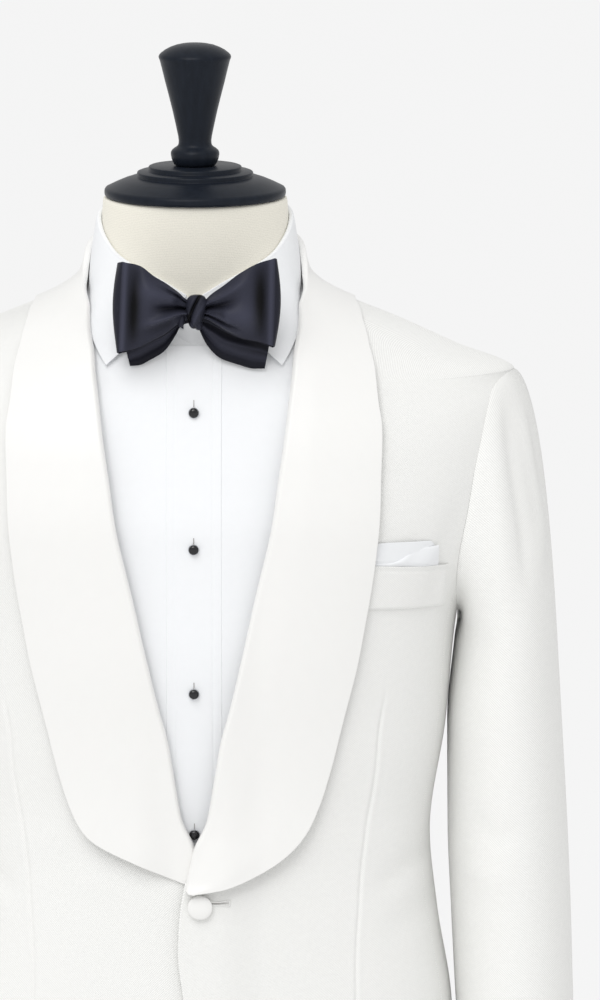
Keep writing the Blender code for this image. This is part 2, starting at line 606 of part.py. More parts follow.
def split_sleeve(side, cloth):
    """The top sleeve runs from the front pitch over the shoulder to the back pitch, the under sleeve below."""
    outer, inner = sleeve_surface()
    count = outer.shape[1] - 1
    front_pitch, back_pitch = -1, 2 * ARMHOLE_ROWS - 1
    hand = "left" if side > 0 else "right"
    for name, first, last in (
        (f"jacket_top_sleeve_{hand}", front_pitch, back_pitch),
        (f"jacket_under_sleeve_{hand}", back_pitch, front_pitch + count),
    ):
        pick = np.arange(first, last + 1) % count
        grids = []
        for grid in (outer[:, pick].copy(), inner[:, pick].copy()):
            for edge, neighbour in ((0, 1), (-1, -2)):
                away = grid[:, neighbour] - grid[:, edge]
                away /= np.linalg.norm(away, axis=1, keepdims=True)
                grid[:, edge] += away * SEAM_GAP / 2
            grids.append(grid)
        wall(name, *grids, cloth, side)


# ---------------------------------------------------------------- pocket and button
def on_left_front(name, corners, layer, finish, rows=3, columns=6):
    """A flat piece on the left front, from (x, height) corners: inner low, outer low, outer top, inner top."""
    corners = np.array(corners)
    u, v = np.linspace(0, 1, columns + 1)[None, :, None], np.linspace(0, 1, rows + 1)[:, None, None]
    plan = (1 - v) * ((1 - u) * corners[0] + u * corners[1]) + v * ((1 - u) * corners[3] + u * corners[2])
    angle = JACKET.angle_of_x(plan[..., 0], plan[..., 1])
    lift, thick = layer
    return surface_wall(name, JACKET, angle, plan[..., 1], lift, lift + thick, finish)


def breast_pocket(cloth, linen):
    on_left_front("jacket_breast_welt", WELT_CORNERS, WELT_LAYER, cloth)
    on_left_front("pocket_square", SQUARE_CORNERS, SQUARE_LAYER, linen, rows=2)


def front_button(satin):
    x, height = BUTTON_PLACE
    angle = JACKET.angle_of_x(x, height)
    place = JACKET.at(angle, height, LAP_LIFT + BUTTON_LIFT)
    profile = [(0.0, 0.0), (0.0070, 0.0), (BUTTON_RADIUS, 0.0012), (BUTTON_RADIUS, 0.0024)]
    profile += [(BUTTON_RADIUS * math.cos(t), 0.0024 + 0.0021 * math.sin(t)) for t in (0.45, 0.85, 1.2)]
    profile.append((0.0, 0.0045))
    turned("jacket_button", profile, satin, tuple(map(float, place)), math.pi / 2)


# ---------------------------------------------------------------- the shirt
def band_top(angle):
    return read_table(*np.array(BAND_TOP).T, 180 - np.abs(180 - np.abs(angle)))


def shirt_panel(name, first, last, lift, linen, side):
    """A shirt panel from the tail up to the collar band, between two angles."""
    angle = np.linspace(first, last, SHIRT_COLUMNS + 1)
    top = band_top(angle) - BAND_HEIGHT - SEAM_GAP
    low = np.array(SHIRT_ROWS)[:, None] + 0 * top
    over = np.array(SHIRT_NECK_SHARES)[:, None]
    height = np.concatenate([low, low[-1] + over * (top - low[-1])])
    return surface_wall(name, FORM, angle, height, lift, lift + SHIRT_CLOTH, linen, side)


def shirt_body(linen):
    gap = 0.1
    for side, hand in ((1, "left"), (-1, "right")):
        shirt_panel(f"shirt_front_{hand}", gap, 90 - gap, SHIRT_FRONT_LIFT, linen, side)
        shirt_panel(f"shirt_back_{hand}", 90 + gap, 180 - gap, SHIRT_BACK_LIFT, linen, side)
    rows = np.linspace(SHIRT_HEM + 0.002, band_top(0.0) - BAND_HEIGHT - 0.002, 16)
    edge = FORM.angle_of_x(np.full(len(rows), PLACKET_WIDTH / 2), rows)
    angle = between(-edge, edge, 4)
    outside = PLACKET_LIFT + PLACKET_CLOTH
    surface_wall("shirt_placket", FORM, angle, rows[:, None], PLACKET_LIFT, outside, linen)


def shirt_collar(linen):
    angle = np.linspace(1.5, 358.5, FORM_COLUMNS + 1)
    height = band_top(angle) - BAND_HEIGHT * (1 - np.linspace(0, 1, 3)[:, None])
    surface_wall("shirt_collar_band", FORM, angle, height, *BAND_LAYER, linen)
    table = np.array(COLLAR_LEAF)
    half = np.linspace(0, 1, 14)
    fold, low_angle, low_height, low_lift = [read_table(table[:, 0], table[:, k], half) for k in range(1, 5)]
    top_point = FORM.at(fold, band_top(fold) + 0.0006, np.full(len(half), LEAF_FOLD_LIFT))
    low_point = FORM.at(low_angle, low_height, low_lift)
    top_normal, low_normal = FORM.outward(fold, band_top(fold)), FORM.outward(low_angle, low_height)
    outer, inner = [], []
    belly = 0.0006 + 0.0018 * np.clip(np.cos(np.radians(low_angle)), 0, 1)[:, None] ** 2
    for t in np.linspace(0, 1, 5):
        normal = top_normal * (1 - t) + low_normal * t
        normal /= np.linalg.norm(normal, axis=1, keepdims=True)
        middle = top_point * (1 - t) + low_point * t + normal * belly * math.sin(math.pi * t) ** 0.7
        outer.append(middle + normal * LEAF_CLOTH)
        inner.append(middle)
    outer, inner = np.array(outer), np.array(inner)
    mirror = np.array([-1, 1, 1])
    outer = np.concatenate([outer, (outer * mirror)[:, -2::-1]], axis=1)
    inner = np.concatenate([inner, (inner * mirror)[:, -2::-1]], axis=1)
    wall("shirt_collar_leaf", outer, inner, linen)


def shirt_studs(dark):
    for number, height in enumerate(STUD_HEIGHTS, 1):
        place = FORM.at(0.0, height, PLACKET_LIFT + PLACKET_CLOTH + STUD_GAP)
        turns = np.linspace(-0.8, 1.2, 5)
        profile = [(0.0, 0.0), (0.0022, 0.0)]
        profile += [(STUD_RADIUS * math.cos(t), 0.0024 + 0.0030 * math.sin(t)) for t in turns]
        profile.append((0.0, 0.0054))
        turned(f"shirt_stud_{number}", profile, dark, tuple(map(float, place)), math.pi / 2, TRIM_STEPS)


# ---------------------------------------------------------------- the bow tie
def bow_wing(side, satin):
    """A wing is one ribbon, out along the front layer, round the fold and back along the back layer."""
    out, front_y, back_y, top, low = np.array(WING).T
    along = np.linspace(0, len(out) - 1, 9)
    stations = np.arange(len(out))
    x, front, back = [read_table(stations, column, along) for column in (out, front_y, back_y)]
    x = x + side * KNOT_PLACE[0]
    tops, lows = [read_table(stations, column, along) for column in (top, low)]
    path_x = np.concatenate([x, x[-2::-1]])
    path_y = np.concatenate([front, back[-2::-1]])
    path_top = np.concatenate([tops, tops[-2::-1] - 0.001])
    path_low = np.concatenate([lows, lows[-2::-1] + 0.001])
    share = np.linspace(0, 1, 6)
    height = path_low[:, None] + share * (path_top - path_low)[:, None]
    line = np.stack([path_x, path_y], axis=1)
    tangent = np.gradient(line, axis=0)
    tangent /= np.linalg.norm(tangent, axis=1, keepdims=True)
    normal = np.stack([-tangent[:, 1], tangent[:, 0]], axis=1)
    grids = []
    for lift in (0.0, SATIN_CLOTH):
        flat = line + normal * lift
        grids.append(np.stack([
            np.broadcast_to(flat[:, :1], height.shape),
            np.broadcast_to(flat[:, 1:], height.shape),
            height,
        ], axis=-1))
    wall(f"bow_wing_{'left' if side > 0 else 'right'}", grids[0], grids[1], satin, side)


def bow_end(side, satin):
    out, depth, top, low = np.array(HANGING_END).T
    along = np.linspace(0, len(out) - 1, 9)
    stations = np.arange(len(out))
    x, y, tops, lows = [read_table(stations, column, along) for column in (out, depth, top, low)]
    x = x + side * KNOT_PLACE[0]
    share = np.linspace(0, 1, 6)
    height = lows[:, None] + share * (tops - lows)[:, None]
    grids = []
    for lift in (0.0, SATIN_CLOTH):
        grids.append(np.stack([
            np.broadcast_to(x[:, None], height.shape),
            np.broadcast_to((y + lift)[:, None], height.shape),
            height,
        ], axis=-1))
    wall(f"bow_end_{'left' if side > 0 else 'right'}", *grids, satin, side)


def bow_knot(satin):
    work = bmesh.new()
    bmesh.ops.create_uvsphere(work, u_segments=16, v_segments=10, radius=1.0)
    for vert in work.verts:
        x, y, z = vert.co
        waist = 1 - 0.12 * (1 - z * z)
        square = max(abs(x), abs(y), 1e-6) / max(math.hypot(x, y), 1e-6)
        width, depth, height = KNOT_HALF
        vert.co = (width * x * waist * (1.15 - 0.15 * square), depth * y, height * z)
    mesh = bpy.data.meshes.new("bow_knot")
    work.to_mesh(mesh)
    work.free()
    mesh.materials.append(satin)
    mesh.shade_smooth()
    made = bpy.data.objects.new("bow_knot", mesh)
    made.location = KNOT_PLACE
    bpy.context.scene.collection.objects.link(made)


def bow_strip(satin):
    """The strip round the neck, between the collar band and the leaf."""
    angle = np.linspace(6.0, 354.0, FORM_COLUMNS + 1)
    height = band_top(angle) - 0.015 + np.array([[-0.008], [0.008]])
    surface_wall("bow_neck_strip", FORM, angle, height, *STRIP_LAYER, satin)


# ---------------------------------------------------------------- the bust form and its stand
def form_torso(cover):
    heights = np.array(FORM_ROWS)
    angle = np.linspace(0, 360, FORM_COLUMNS, endpoint=False)
    grid = FORM.point(np.broadcast_to(angle, (len(heights), FORM_COLUMNS)), heights[:, None])
    points = grid.reshape(-1, 3)
    faces = []
    for r in range(len(heights) - 1):
        for c in range(FORM_COLUMNS):
            a, b = r * FORM_COLUMNS + c, r * FORM_COLUMNS + (c + 1) % FORM_COLUMNS
            up_a, up_b = a + FORM_COLUMNS, b + FORM_COLUMNS
            # The split turns over at centre back, as the shirt's does.
            if c < FORM_COLUMNS // 2:
                faces += [(a, b, up_b), (a, up_b, up_a)]
            else:
                faces += [(a, b, up_a), (b, up_b, up_a)]
    last = (len(heights) - 1) * FORM_COLUMNS
    faces.append(tuple(range(FORM_COLUMNS)))
    faces.append(tuple(last + c for c in reversed(range(FORM_COLUMNS))))
    return add_mesh("form_torso", points, faces, cover)


def form_fittings(lacquer):
    cap_bottom = NECK_TOP + SEAM_GAP
    finial_bottom = cap_bottom + CAP_PROFILE[-1][1] + SEAM_GAP
    turned("form_neck_cap", CAP_PROFILE, lacquer, (0, CAP_Y, cap_bottom))
    turned("form_finial", FINIAL_PROFILE, lacquer, (0, CAP_Y, finial_bottom))
    turned("stand_base", BASE_PROFILE, lacquer)
    low, high = BASE_HEIGHT + SEAM_GAP, FORM_BOTTOM - SEAM_GAP
    pole = [
        (0.0, low), (0.020, low), (0.021, low + 0.004), (0.0165, low + 0.012), (POLE_RADIUS, low + 0.022),
        (POLE_RADIUS, high - 0.022), (0.0165, high - 0.012), (0.026, high - 0.004), (0.026, high), (0.0, high),
    ]
    turned("stand_pole", pole, lacquer)


def main():
    clear_scene()
    twill = material("jacket_twill", (0.88, 0.88, 0.86), 0.8)
    lapel_satin = material("lapel_satin", (0.89, 0.88, 0.86), 0.45)
    poplin = material("shirt_poplin", (0.92, 0.93, 0.95), 0.75)
    bow_satin = material("bow_satin", (0.012, 0.012, 0.020), 0.4)
    linen = material("form_linen", (0.80, 0.78, 0.68), 0.9)
    lacquer = material("black_lacquer", (0.012, 0.015, 0.024), 0.35)
    pearl = material("stud_dark", (0.02, 0.018, 0.022), 0.12)
    for side in (1, -1):
        jacket_front(side, twill)
        jacket_side(side, twill)
        jacket_back(side, twill)
        jacket_shawl(side, lapel_satin)
        split_sleeve(side, twill)
        bow_wing(side, bow_satin)
        bow_end(side, bow_satin)
    collar_stand(twill)
    breast_pocket(twill, poplin)
    front_button(lapel_satin)
    shirt_body(poplin)
    shirt_collar(poplin)
    shirt_studs(pearl)
    bow_knot(bow_satin)
    bow_strip(bow_satin)
    form_torso(linen)
    form_fittings(lacquer)


main()
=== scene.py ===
"""The looks of a white shawl-collar tuxedo on a dress form: dinner jacket, dress shirt, bow tie and stand.

Metres, +Z up. The front faces -Y and the wearer's left is +X. A place on a garment is given by an angle round
the body (0 at centre front, 90 at the wearer's left, 180 at centre back), a height above the floor and a lift
off the garment's own surface. The wearer's left half is worked out, and mirrored for the right.
"""

import math

import bmesh
import bpy
import numpy as np
from bpy.props import FloatProperty, FloatVectorProperty, PointerProperty
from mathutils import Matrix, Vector


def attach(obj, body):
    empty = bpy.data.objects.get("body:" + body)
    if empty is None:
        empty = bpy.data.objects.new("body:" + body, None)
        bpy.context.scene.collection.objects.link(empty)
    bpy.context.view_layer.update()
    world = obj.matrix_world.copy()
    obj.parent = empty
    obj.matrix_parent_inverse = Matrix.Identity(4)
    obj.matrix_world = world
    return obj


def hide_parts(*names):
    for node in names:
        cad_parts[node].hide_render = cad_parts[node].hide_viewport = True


bl_info = {
    "name": "Tuxedo on a dress form",
    "version": (1, 0, 0),
    "blender": (4, 5, 0),
    "location": "3D View > Sidebar > Tuxedo",
    "description": "Cloth, trims, stand and studio for a white shawl-collar tuxedo",
    "category": "Add Mesh",
}

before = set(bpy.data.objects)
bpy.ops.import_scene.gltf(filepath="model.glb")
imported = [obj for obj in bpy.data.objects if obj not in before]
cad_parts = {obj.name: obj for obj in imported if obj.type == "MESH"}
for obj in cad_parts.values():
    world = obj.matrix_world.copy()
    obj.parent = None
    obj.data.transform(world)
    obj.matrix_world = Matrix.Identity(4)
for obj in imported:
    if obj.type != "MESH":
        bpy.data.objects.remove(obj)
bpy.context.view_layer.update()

# ---------------------------------------------------------------- sizes
JACKET_HEM = 0.262
NECK_SEAM = 1.002
SHOULDER_TIP = 0.952
ARMPIT = 0.777
ARMHOLE_MIDDLE = 0.845
ARMHOLE_Y = 0.0065
ARMHOLE_DEPTH = 0.067
RIDGE_Y = 0.008
SIDE_SEAM_FRONT = -0.046
SIDE_SEAM_BACK = 0.058
JACKET_CLOTH = 0.0020
SHAWL_CLOTH = 0.0018
SHAWL_NECK_CLOTH = 0.0012
SLEEVE_CLOTH = 0.0018
SLEEVE_RADIUS = 0.047       # that the weave is unrolled at
SHIRT_CLOTH = 0.0009
RIBBON_CLOTH = 0.0010
LAP_LIFT = 0.0062
PANEL_GAP = 0.0009          # between the faces of two sewn panels, for the rounded edges on both sides
SEAM_ROUND = 0.00040        # how far a sewn edge's round reaches into that gap
BUTTON_PLACE = (0.0040, 0.5855)
BUTTONHOLE_HEIGHT = 0.5878
BUTTON_RADIUS = 0.0090
SHIRT_HEM = 0.300
BAND_HEIGHT = 0.030
PLACKET_HALF = 0.0190
PLACKET_LIFT = 0.0041
STUD_LIFT = 0.0047          # of a stud's back off the form, over the placket's thickness
STUD_RADIUS = 0.0039
STUD_HEIGHTS = (0.6359, 0.7394, 0.8422, 0.9345)
KNOT = np.array((0.0013, -0.0965, 1.0075))
CAP_Y = 0.004
NECK_TOP = 1.077
FINIAL_RISE = 0.0223        # of the finial's foot over the cap's foot
POCKET_INNER_X = 0.1180
POCKET_LENGTH = 0.0602
WELT_FOOT = (0.7973, -0.0054)  # height of the inner end, and what the outer end adds to it
WELT_TOP = (0.8288, -0.0066)
SQUARE_FOOT = 0.8200        # hidden behind the welt

# lights and camera
KEY_PLACE = (-1.1, -3.5, 4.3)
KEY_SPREAD = 40.0           # degrees across
SOFTBOX_PLACE = (-1.3, -3.4, 3.1)
SOFTBOX_AIM = (0, 0, 0.86)
SOFTBOX_SIZE = 0.26
SOFTBOX_POWER = 5.5
CAMERA_AIM = (0.075, 0, 0.857)
CAMERA_RISE = 10.0
HALF_VIEW = 0.36            # half the height of the view where the camera aims

HAND = {1: "left", -1: "right"}   # the wearer's, by the sign of x

# height, half width, front y, back y, y of the widest point, squareness of the ring
JACKET_RINGS = (
    (0.262, 0.1960, -0.126, 0.121, -0.004, 2.3),
    (0.360, 0.1925, -0.124, 0.121, -0.004, 2.3),
    (0.494, 0.1850, -0.121, 0.108, -0.006, 2.3),
    (0.560, 0.1745, -0.119, 0.096, -0.007, 2.3),
    (0.618, 0.1690, -0.118, 0.089, -0.007, 2.3),
    (0.697, 0.1800, -0.122, 0.097, -0.005, 2.3),
    (0.777, 0.1880, -0.127, 0.108, -0.002, 2.3),
    (0.850, 0.2130, -0.126, 0.114, 0.002, 2.25),
    (0.900, 0.2240, -0.117, 0.114, 0.005, 2.1),
    (0.930, 0.2285, -0.108, 0.113, 0.007, 1.85),
    (0.952, 0.2290, -0.098, 0.111, 0.008, 1.55),
    (0.970, 0.1886, -0.090, 0.106, 0.008, 1.55),
    (0.988, 0.1480, -0.081, 0.100, 0.008, 1.7),
    (1.002, 0.1120, -0.073, 0.092, 0.008, 1.85),
    (1.007, 0.1010, -0.070, 0.090, 0.008, 1.9),
    (1.014, 0.0895, -0.066, 0.087, 0.008, 2.0),
    (1.023, 0.0808, -0.062, 0.083, 0.008, 2.0),
    (1.036, 0.0771, -0.060, 0.080, 0.008, 2.0),
    (1.052, 0.0755, -0.058, 0.078, 0.008, 2.0),
)
FORM_RINGS = (
    (0.276, 0.150, -0.098, 0.100, -0.003, 2.2),
    (0.290, 0.164, -0.107, 0.110, -0.003, 2.2),
    (0.350, 0.170, -0.110, 0.113, -0.003, 2.2),
    (0.450, 0.165, -0.107, 0.099, -0.004, 2.2),
    (0.600, 0.150, -0.102, 0.078, -0.005, 2.2),
    (0.700, 0.160, -0.108, 0.084, -0.003, 2.2),
    (0.780, 0.170, -0.114, 0.096, 0.000, 2.2),
    (0.850, 0.184, -0.113, 0.102, 0.003, 2.2),
    (0.890, 0.194, -0.105, 0.102, 0.006, 2.2),
    (0.920, 0.199, -0.096, 0.099, 0.008, 2.1),
    (0.938, 0.196, -0.089, 0.097, 0.008, 1.95),
    (0.950, 0.187, -0.083, 0.094, 0.008, 1.85),
    (0.968, 0.163, -0.076, 0.090, 0.008, 1.85),
    (0.988, 0.116, -0.067, 0.085, 0.008, 1.95),
    (1.001, 0.089, -0.061, 0.081, 0.008, 2.0),
    (1.012, 0.0755, -0.058, 0.078, 0.008, 2.0),
    (1.025, 0.0702, -0.056, 0.075, 0.008, 2.0),
    (1.045, 0.0680, -0.055, 0.071, 0.008, 2.0),
    (1.077, 0.0658, -0.057, 0.067, 0.005, 2.0),
)
# height, x of the left front's free edge: cutaway skirt, button stand, then the roll line up to the neck
FRONT_EDGE = (
    (0.262, 0.1000), (0.268, 0.0800), (0.282, 0.0620), (0.310, 0.0460), (0.350, 0.0300),
    (0.400, 0.0150), (0.450, 0.0040), (0.500, -0.0045), (0.525, -0.0080), (0.550, -0.0108),
    (0.575, -0.0098), (0.5895, -0.0080), (0.601, -0.0058), (0.6270, -0.0004), (0.641, 0.0070),
    (0.660, 0.0108), (0.697, 0.0165), (0.730, 0.0255),
    (0.768, 0.0345), (0.808, 0.0435), (0.845, 0.0525), (0.891, 0.0600), (0.928, 0.0655),
    (0.962, 0.0700), (0.985, 0.0728), (1.005, 0.0745),
)
# share of the way up a side seam, and the height that the same row has on the front's free edge
SEAM_ROWS = (
    (0.00, 0.262), (0.09, 0.268), (0.19, 0.290), (0.31, 0.335), (0.43, 0.400),
    (0.54, 0.480), (0.64, 0.550), (0.74, 0.620), (0.86, 0.710), (1.00, 0.803),
)
# height and x of the front dart's line, which is sewn only in its middle part
DART = (
    (0.262, 0.1170), (0.420, 0.1170), (0.500, 0.1180), (0.610, 0.1215), (0.660, 0.1270),
    (0.700, 0.1310), (0.733, 0.1360), (0.790, 0.1410), (0.860, 0.1460), (0.930, 0.1500),
    (0.952, 0.1480), (0.970, 0.1350), (0.988, 0.1150), (1.002, 0.0970),
)
# the shawl on the chest: x and height of the roll line, x and height of the outer edge
SHAWL_FRONT = (
    (-0.0064, 0.5985, -0.0010, 0.5962),
    (-0.0050, 0.6060, 0.0186, 0.5993),
    (-0.0004, 0.6270, 0.0430, 0.6083),
    (0.0088, 0.6480, 0.0640, 0.6217),
    (0.0138, 0.6760, 0.0779, 0.6372),
    (0.0185, 0.7040, 0.0883, 0.6579),
    (0.0255, 0.7300, 0.0962, 0.6816),
    (0.0345, 0.7680, 0.1070, 0.7240),
    (0.0435, 0.8080, 0.1171, 0.7655),
    (0.0525, 0.8450, 0.1250, 0.8100),
    (0.0600, 0.8910, 0.1305, 0.8540),
    (0.0655, 0.9280, 0.1322, 0.9000),
    (0.0700, 0.9620, 0.1302, 0.9380),
    (0.0728, 0.9850, 0.1246, 0.9700),
    (0.0745, 1.0050, 0.1180, 0.9920),
)
# the shawl round the neck: angle and height of the fold, angle and height of the outer edge
SHAWL_NECK = (
    (78.0, 1.0240, 90.0, 1.0015),
    (94.0, 1.0400, 110.0, 0.9970),
    (112.0, 1.0465, 128.0, 0.9900),
    (136.0, 1.0485, 147.0, 0.9860),
    (160.0, 1.0495, 164.0, 0.9840),
    (180.0, 1.0500, 180.0, 0.9835),
)
# height, inner x, outer x, front y, back y of the left sleeve
SLEEVE_RINGS = (
    (0.325, 0.1980, 0.2765, -0.080, 0.026),
    (0.400, 0.1945, 0.2765, -0.077, 0.036),
    (0.494, 0.1880, 0.2735, -0.073, 0.049),
    (0.560, 0.1845, 0.2715, -0.070, 0.057),
    (0.618, 0.1820, 0.2690, -0.069, 0.064),
    (0.697, 0.1815, 0.2645, -0.067, 0.070),
    (0.757, 0.1868, 0.2610, -0.065, 0.074),
)
# angle, top height of the shirt collar band
BAND_TOP = (
    (0.0, 1.0100), (20.0, 1.0232), (55.0, 1.0402), (68.0, 1.0492),
    (90.0, 1.0620), (135.0, 1.0715), (180.0, 1.0745),
)
# share of the way round, fold angle, then angle, height and lift of the leaf's lower edge
COLLAR_LEAF = (
    (0.00, 5.0, 38.0, 0.9650, 0.0062),
    (0.15, 22.0, 49.0, 0.9840, 0.0058),
    (0.30, 48.0, 60.0, 1.0000, 0.0050),
    (0.50, 90.0, 90.0, 1.0225, 0.0044),
    (0.75, 135.0, 135.0, 1.0335, 0.0037),
    (1.00, 180.0, 180.0, 1.0375, 0.0037),
)

# Soft folds: the path as (angle, height) points, the fold's half width, and its height or, below zero, depth.
BODY_FOLDS = (
    (((54, 0.586), (70, 0.603), (88, 0.611)), 0.0075, -0.0016),
    (((57, 0.556), (72, 0.567), (88, 0.579)), 0.0100, -0.0012),
    (((30, 0.640), (55, 0.624), (80, 0.628)), 0.0140, 0.0009),
    (((7, 0.584), (24, 0.596), (46, 0.602)), 0.0110, 0.0008),
    (((66, 0.770), (67, 0.830), (70, 0.888)), 0.0100, -0.0012),
    (((114, 0.700), (125, 0.775), (133, 0.860)), 0.0130, -0.0026),
    (((122, 0.660), (138, 0.730), (146, 0.830)), 0.0140, 0.0016),
    (((150, 0.966), (165, 0.955), (180, 0.951)), 0.0080, -0.0018),
    (((128, 0.640), (150, 0.624), (176, 0.618)), 0.0130, 0.0014),
    (((118, 0.606), (142, 0.594), (172, 0.592)), 0.0110, -0.0018),
    (((104, 0.262), (107, 0.360), (108, 0.470)), 0.0180, 0.0030),
    (((122, 0.262), (124, 0.350), (122, 0.450)), 0.0160, -0.0028),
    (((146, 0.262), (146, 0.360), (144, 0.470)), 0.0190, 0.0026),
    (((60, 0.262), (59, 0.350), (57, 0.460)), 0.0200, 0.0018),
    (((78, 0.262), (78, 0.340), (76, 0.430)), 0.0160, -0.0020),
)
# The same on a sleeve, seen from the front: the path as (x, height) points.
SLEEVE_FRONT_FOLDS = (
    (((0.2205, 0.948), (0.2245, 0.918), (0.2290, 0.884), (0.2350, 0.846), (0.2400, 0.790)), 0.0052, -0.0036),
    (((0.2120, 0.925), (0.2145, 0.890), (0.2180, 0.850), (0.2210, 0.780)), 0.0075, 0.0016),
    (((0.2310, 0.946), (0.2362, 0.916), (0.2425, 0.880), (0.2475, 0.845), (0.2500, 0.800)), 0.0030, 0.0024),
    (((0.2375, 0.930), (0.2432, 0.896), (0.2485, 0.858)), 0.0022, -0.0014),
    (((0.1920, 0.640), (0.2150, 0.622), (0.2400, 0.630)), 0.0090, -0.0012),
    (((0.1900, 0.604), (0.2100, 0.592), (0.2300, 0.596)), 0.0090, 0.0010),
)
SLEEVE_BACK_FOLDS = (
    (((0.2180, 0.940), (0.2220, 0.890), (0.2260, 0.830)), 0.0065, -0.0030),
    (((0.2330, 0.935), (0.2380, 0.890), (0.2420, 0.830)), 0.0050, 0.0018),
    (((0.1950, 0.668), (0.2200, 0.655), (0.2500, 0.664)), 0.0080, -0.0022),
    (((0.1950, 0.632), (0.2250, 0.618), (0.2550, 0.630)), 0.0080, 0.0018),
    (((0.1980, 0.598), (0.2250, 0.588), (0.2550, 0.600)), 0.0070, -0.0020),
)

# share out from the knot, then x and z, from the knot's middle, of the top and of the bottom edge
WING_LEFT = (
    (0.00, 0.0020, 0.0060, 0.0020, -0.0030),
    (0.07, 0.0075, 0.0098, 0.0080, -0.0045),
    (0.15, 0.0110, 0.0133, 0.0130, -0.0070),
    (0.35, 0.0205, 0.0206, 0.0225, -0.0124),
    (0.55, 0.0310, 0.0287, 0.0325, -0.0167),
    (0.78, 0.0430, 0.0350, 0.0430, -0.0191),
    (1.00, 0.0560, 0.0384, 0.0545, -0.0232),
)
WING_RIGHT = (
    (0.00, 0.0020, 0.0065, 0.0020, -0.0040),
    (0.07, 0.0078, 0.0108, 0.0078, -0.0056),
    (0.15, 0.0110, 0.0142, 0.0120, -0.0074),
    (0.35, 0.0200, 0.0215, 0.0210, -0.0138),
    (0.55, 0.0290, 0.0270, 0.0310, -0.0191),
    (0.78, 0.0390, 0.0340, 0.0420, -0.0244),
    (1.00, 0.0510, 0.0362, 0.0540, -0.0276),
)
END_LEFT = (
    (0.00, 0.0020, -0.0020, 0.0015, -0.0110),
    (0.20, 0.0140, -0.0030, 0.0080, -0.0240),
    (0.45, 0.0260, -0.0080, 0.0170, -0.0335),
    (0.70, 0.0380, -0.0120, 0.0300, -0.0385),
    (0.90, 0.0460, -0.0150, 0.0420, -0.0416),
    (1.00, 0.0525, -0.0200, 0.0484, -0.0416),
)
END_RIGHT = (
    (0.00, 0.0060, 0.0000, 0.0085, -0.0060),
    (0.20, 0.0150, 0.0000, 0.0140, -0.0170),
    (0.45, 0.0260, -0.0010, 0.0225, -0.0290),
    (0.70, 0.0370, -0.0060, 0.0320, -0.0350),
    (0.90, 0.0450, -0.0120, 0.0405, -0.0392),
    (1.00, 0.0508, -0.0200, 0.0462, -0.0398),
)
# Folds of a wing: share out where it starts and ends, height share at both, half width in height share,
# height
WING_FOLDS_LEFT = (
    (0.00, 0.62, 0.56, 0.60, 0.075, -0.0030),
    (0.00, 0.80, 0.80, 0.83, 0.085, 0.0022),
    (0.25, 0.95, 0.36, 0.30, 0.180, 0.0026),
    (0.00, 0.55, 0.34, 0.20, 0.050, 0.0014),
    (0.00, 0.65, 0.22, 0.11, 0.032, -0.0020),
    (0.00, 0.60, 0.10, 0.04, 0.030, 0.0014),
)
WING_FOLDS_RIGHT = (
    (0.00, 0.66, 0.52, 0.49, 0.070, -0.0032),
    (0.15, 0.95, 0.76, 0.74, 0.140, 0.0026),
    (0.00, 0.55, 0.86, 0.88, 0.028, -0.0018),
    (0.00, 0.60, 0.95, 0.95, 0.030, 0.0012),
    (0.00, 0.80, 0.36, 0.26, 0.060, 0.0026),
    (0.20, 0.90, 0.18, 0.16, 0.090, -0.0012),
)

# radius and height of the turned pieces' outlines, bottom to top
CAP_OUTLINE = (
    (0.0, 0.0), (0.0625, 0.0), (0.0640, 0.0004), (0.0648, 0.0015), (0.0650, 0.0032), (0.0648, 0.0050),
    (0.0641, 0.0060), (0.0625, 0.0068), (0.0580, 0.0090), (0.0520, 0.0116), (0.0460, 0.0136),
    (0.0432, 0.0141), (0.0420, 0.0144), (0.0416, 0.0149), (0.0416, 0.0168), (0.0412, 0.0175),
    (0.0402, 0.0179), (0.0345, 0.0184), (0.0337, 0.0187), (0.0334, 0.0193), (0.0334, 0.0208),
    (0.0330, 0.0215), (0.0320, 0.0219), (0.0, 0.0220),
)
FINIAL_OUTLINE = (
    (0.0, 0.0), (0.0140, 0.0), (0.0150, 0.0008), (0.0160, 0.0025), (0.0169, 0.0050), (0.0174, 0.0078),
    (0.0173, 0.0094), (0.0166, 0.0108), (0.0150, 0.0122), (0.0134, 0.0132), (0.0123, 0.0142),
    (0.0118, 0.0156), (0.0117, 0.0178), (0.0121, 0.0210), (0.0140, 0.0300), (0.0161, 0.0395),
    (0.0187, 0.0500), (0.0213, 0.0600), (0.0237, 0.0700), (0.0251, 0.0754), (0.0257, 0.0768),
    (0.0259, 0.0778), (0.0256, 0.0790), (0.0245, 0.0803), (0.0215, 0.0826), (0.0180, 0.0845),
    (0.0140, 0.0860), (0.0095, 0.0870), (0.0050, 0.0875), (0.0, 0.0876),
)
BASE_OUTLINE = (
    (0.0, 0.0), (0.1865, 0.0), (0.1885, 0.0008), (0.1898, 0.0024), (0.1900, 0.0045), (0.1900, 0.0095),
    (0.1896, 0.0115), (0.1885, 0.0130), (0.1865, 0.0139), (0.1600, 0.0158), (0.1200, 0.0185),
    (0.0800, 0.0206), (0.0500, 0.0218), (0.0370, 0.0223), (0.0352, 0.0230), (0.0346, 0.0244),
    (0.0344, 0.0272), (0.0338, 0.0288), (0.0320, 0.0298), (0.0300, 0.0300), (0.0, 0.0300),
)
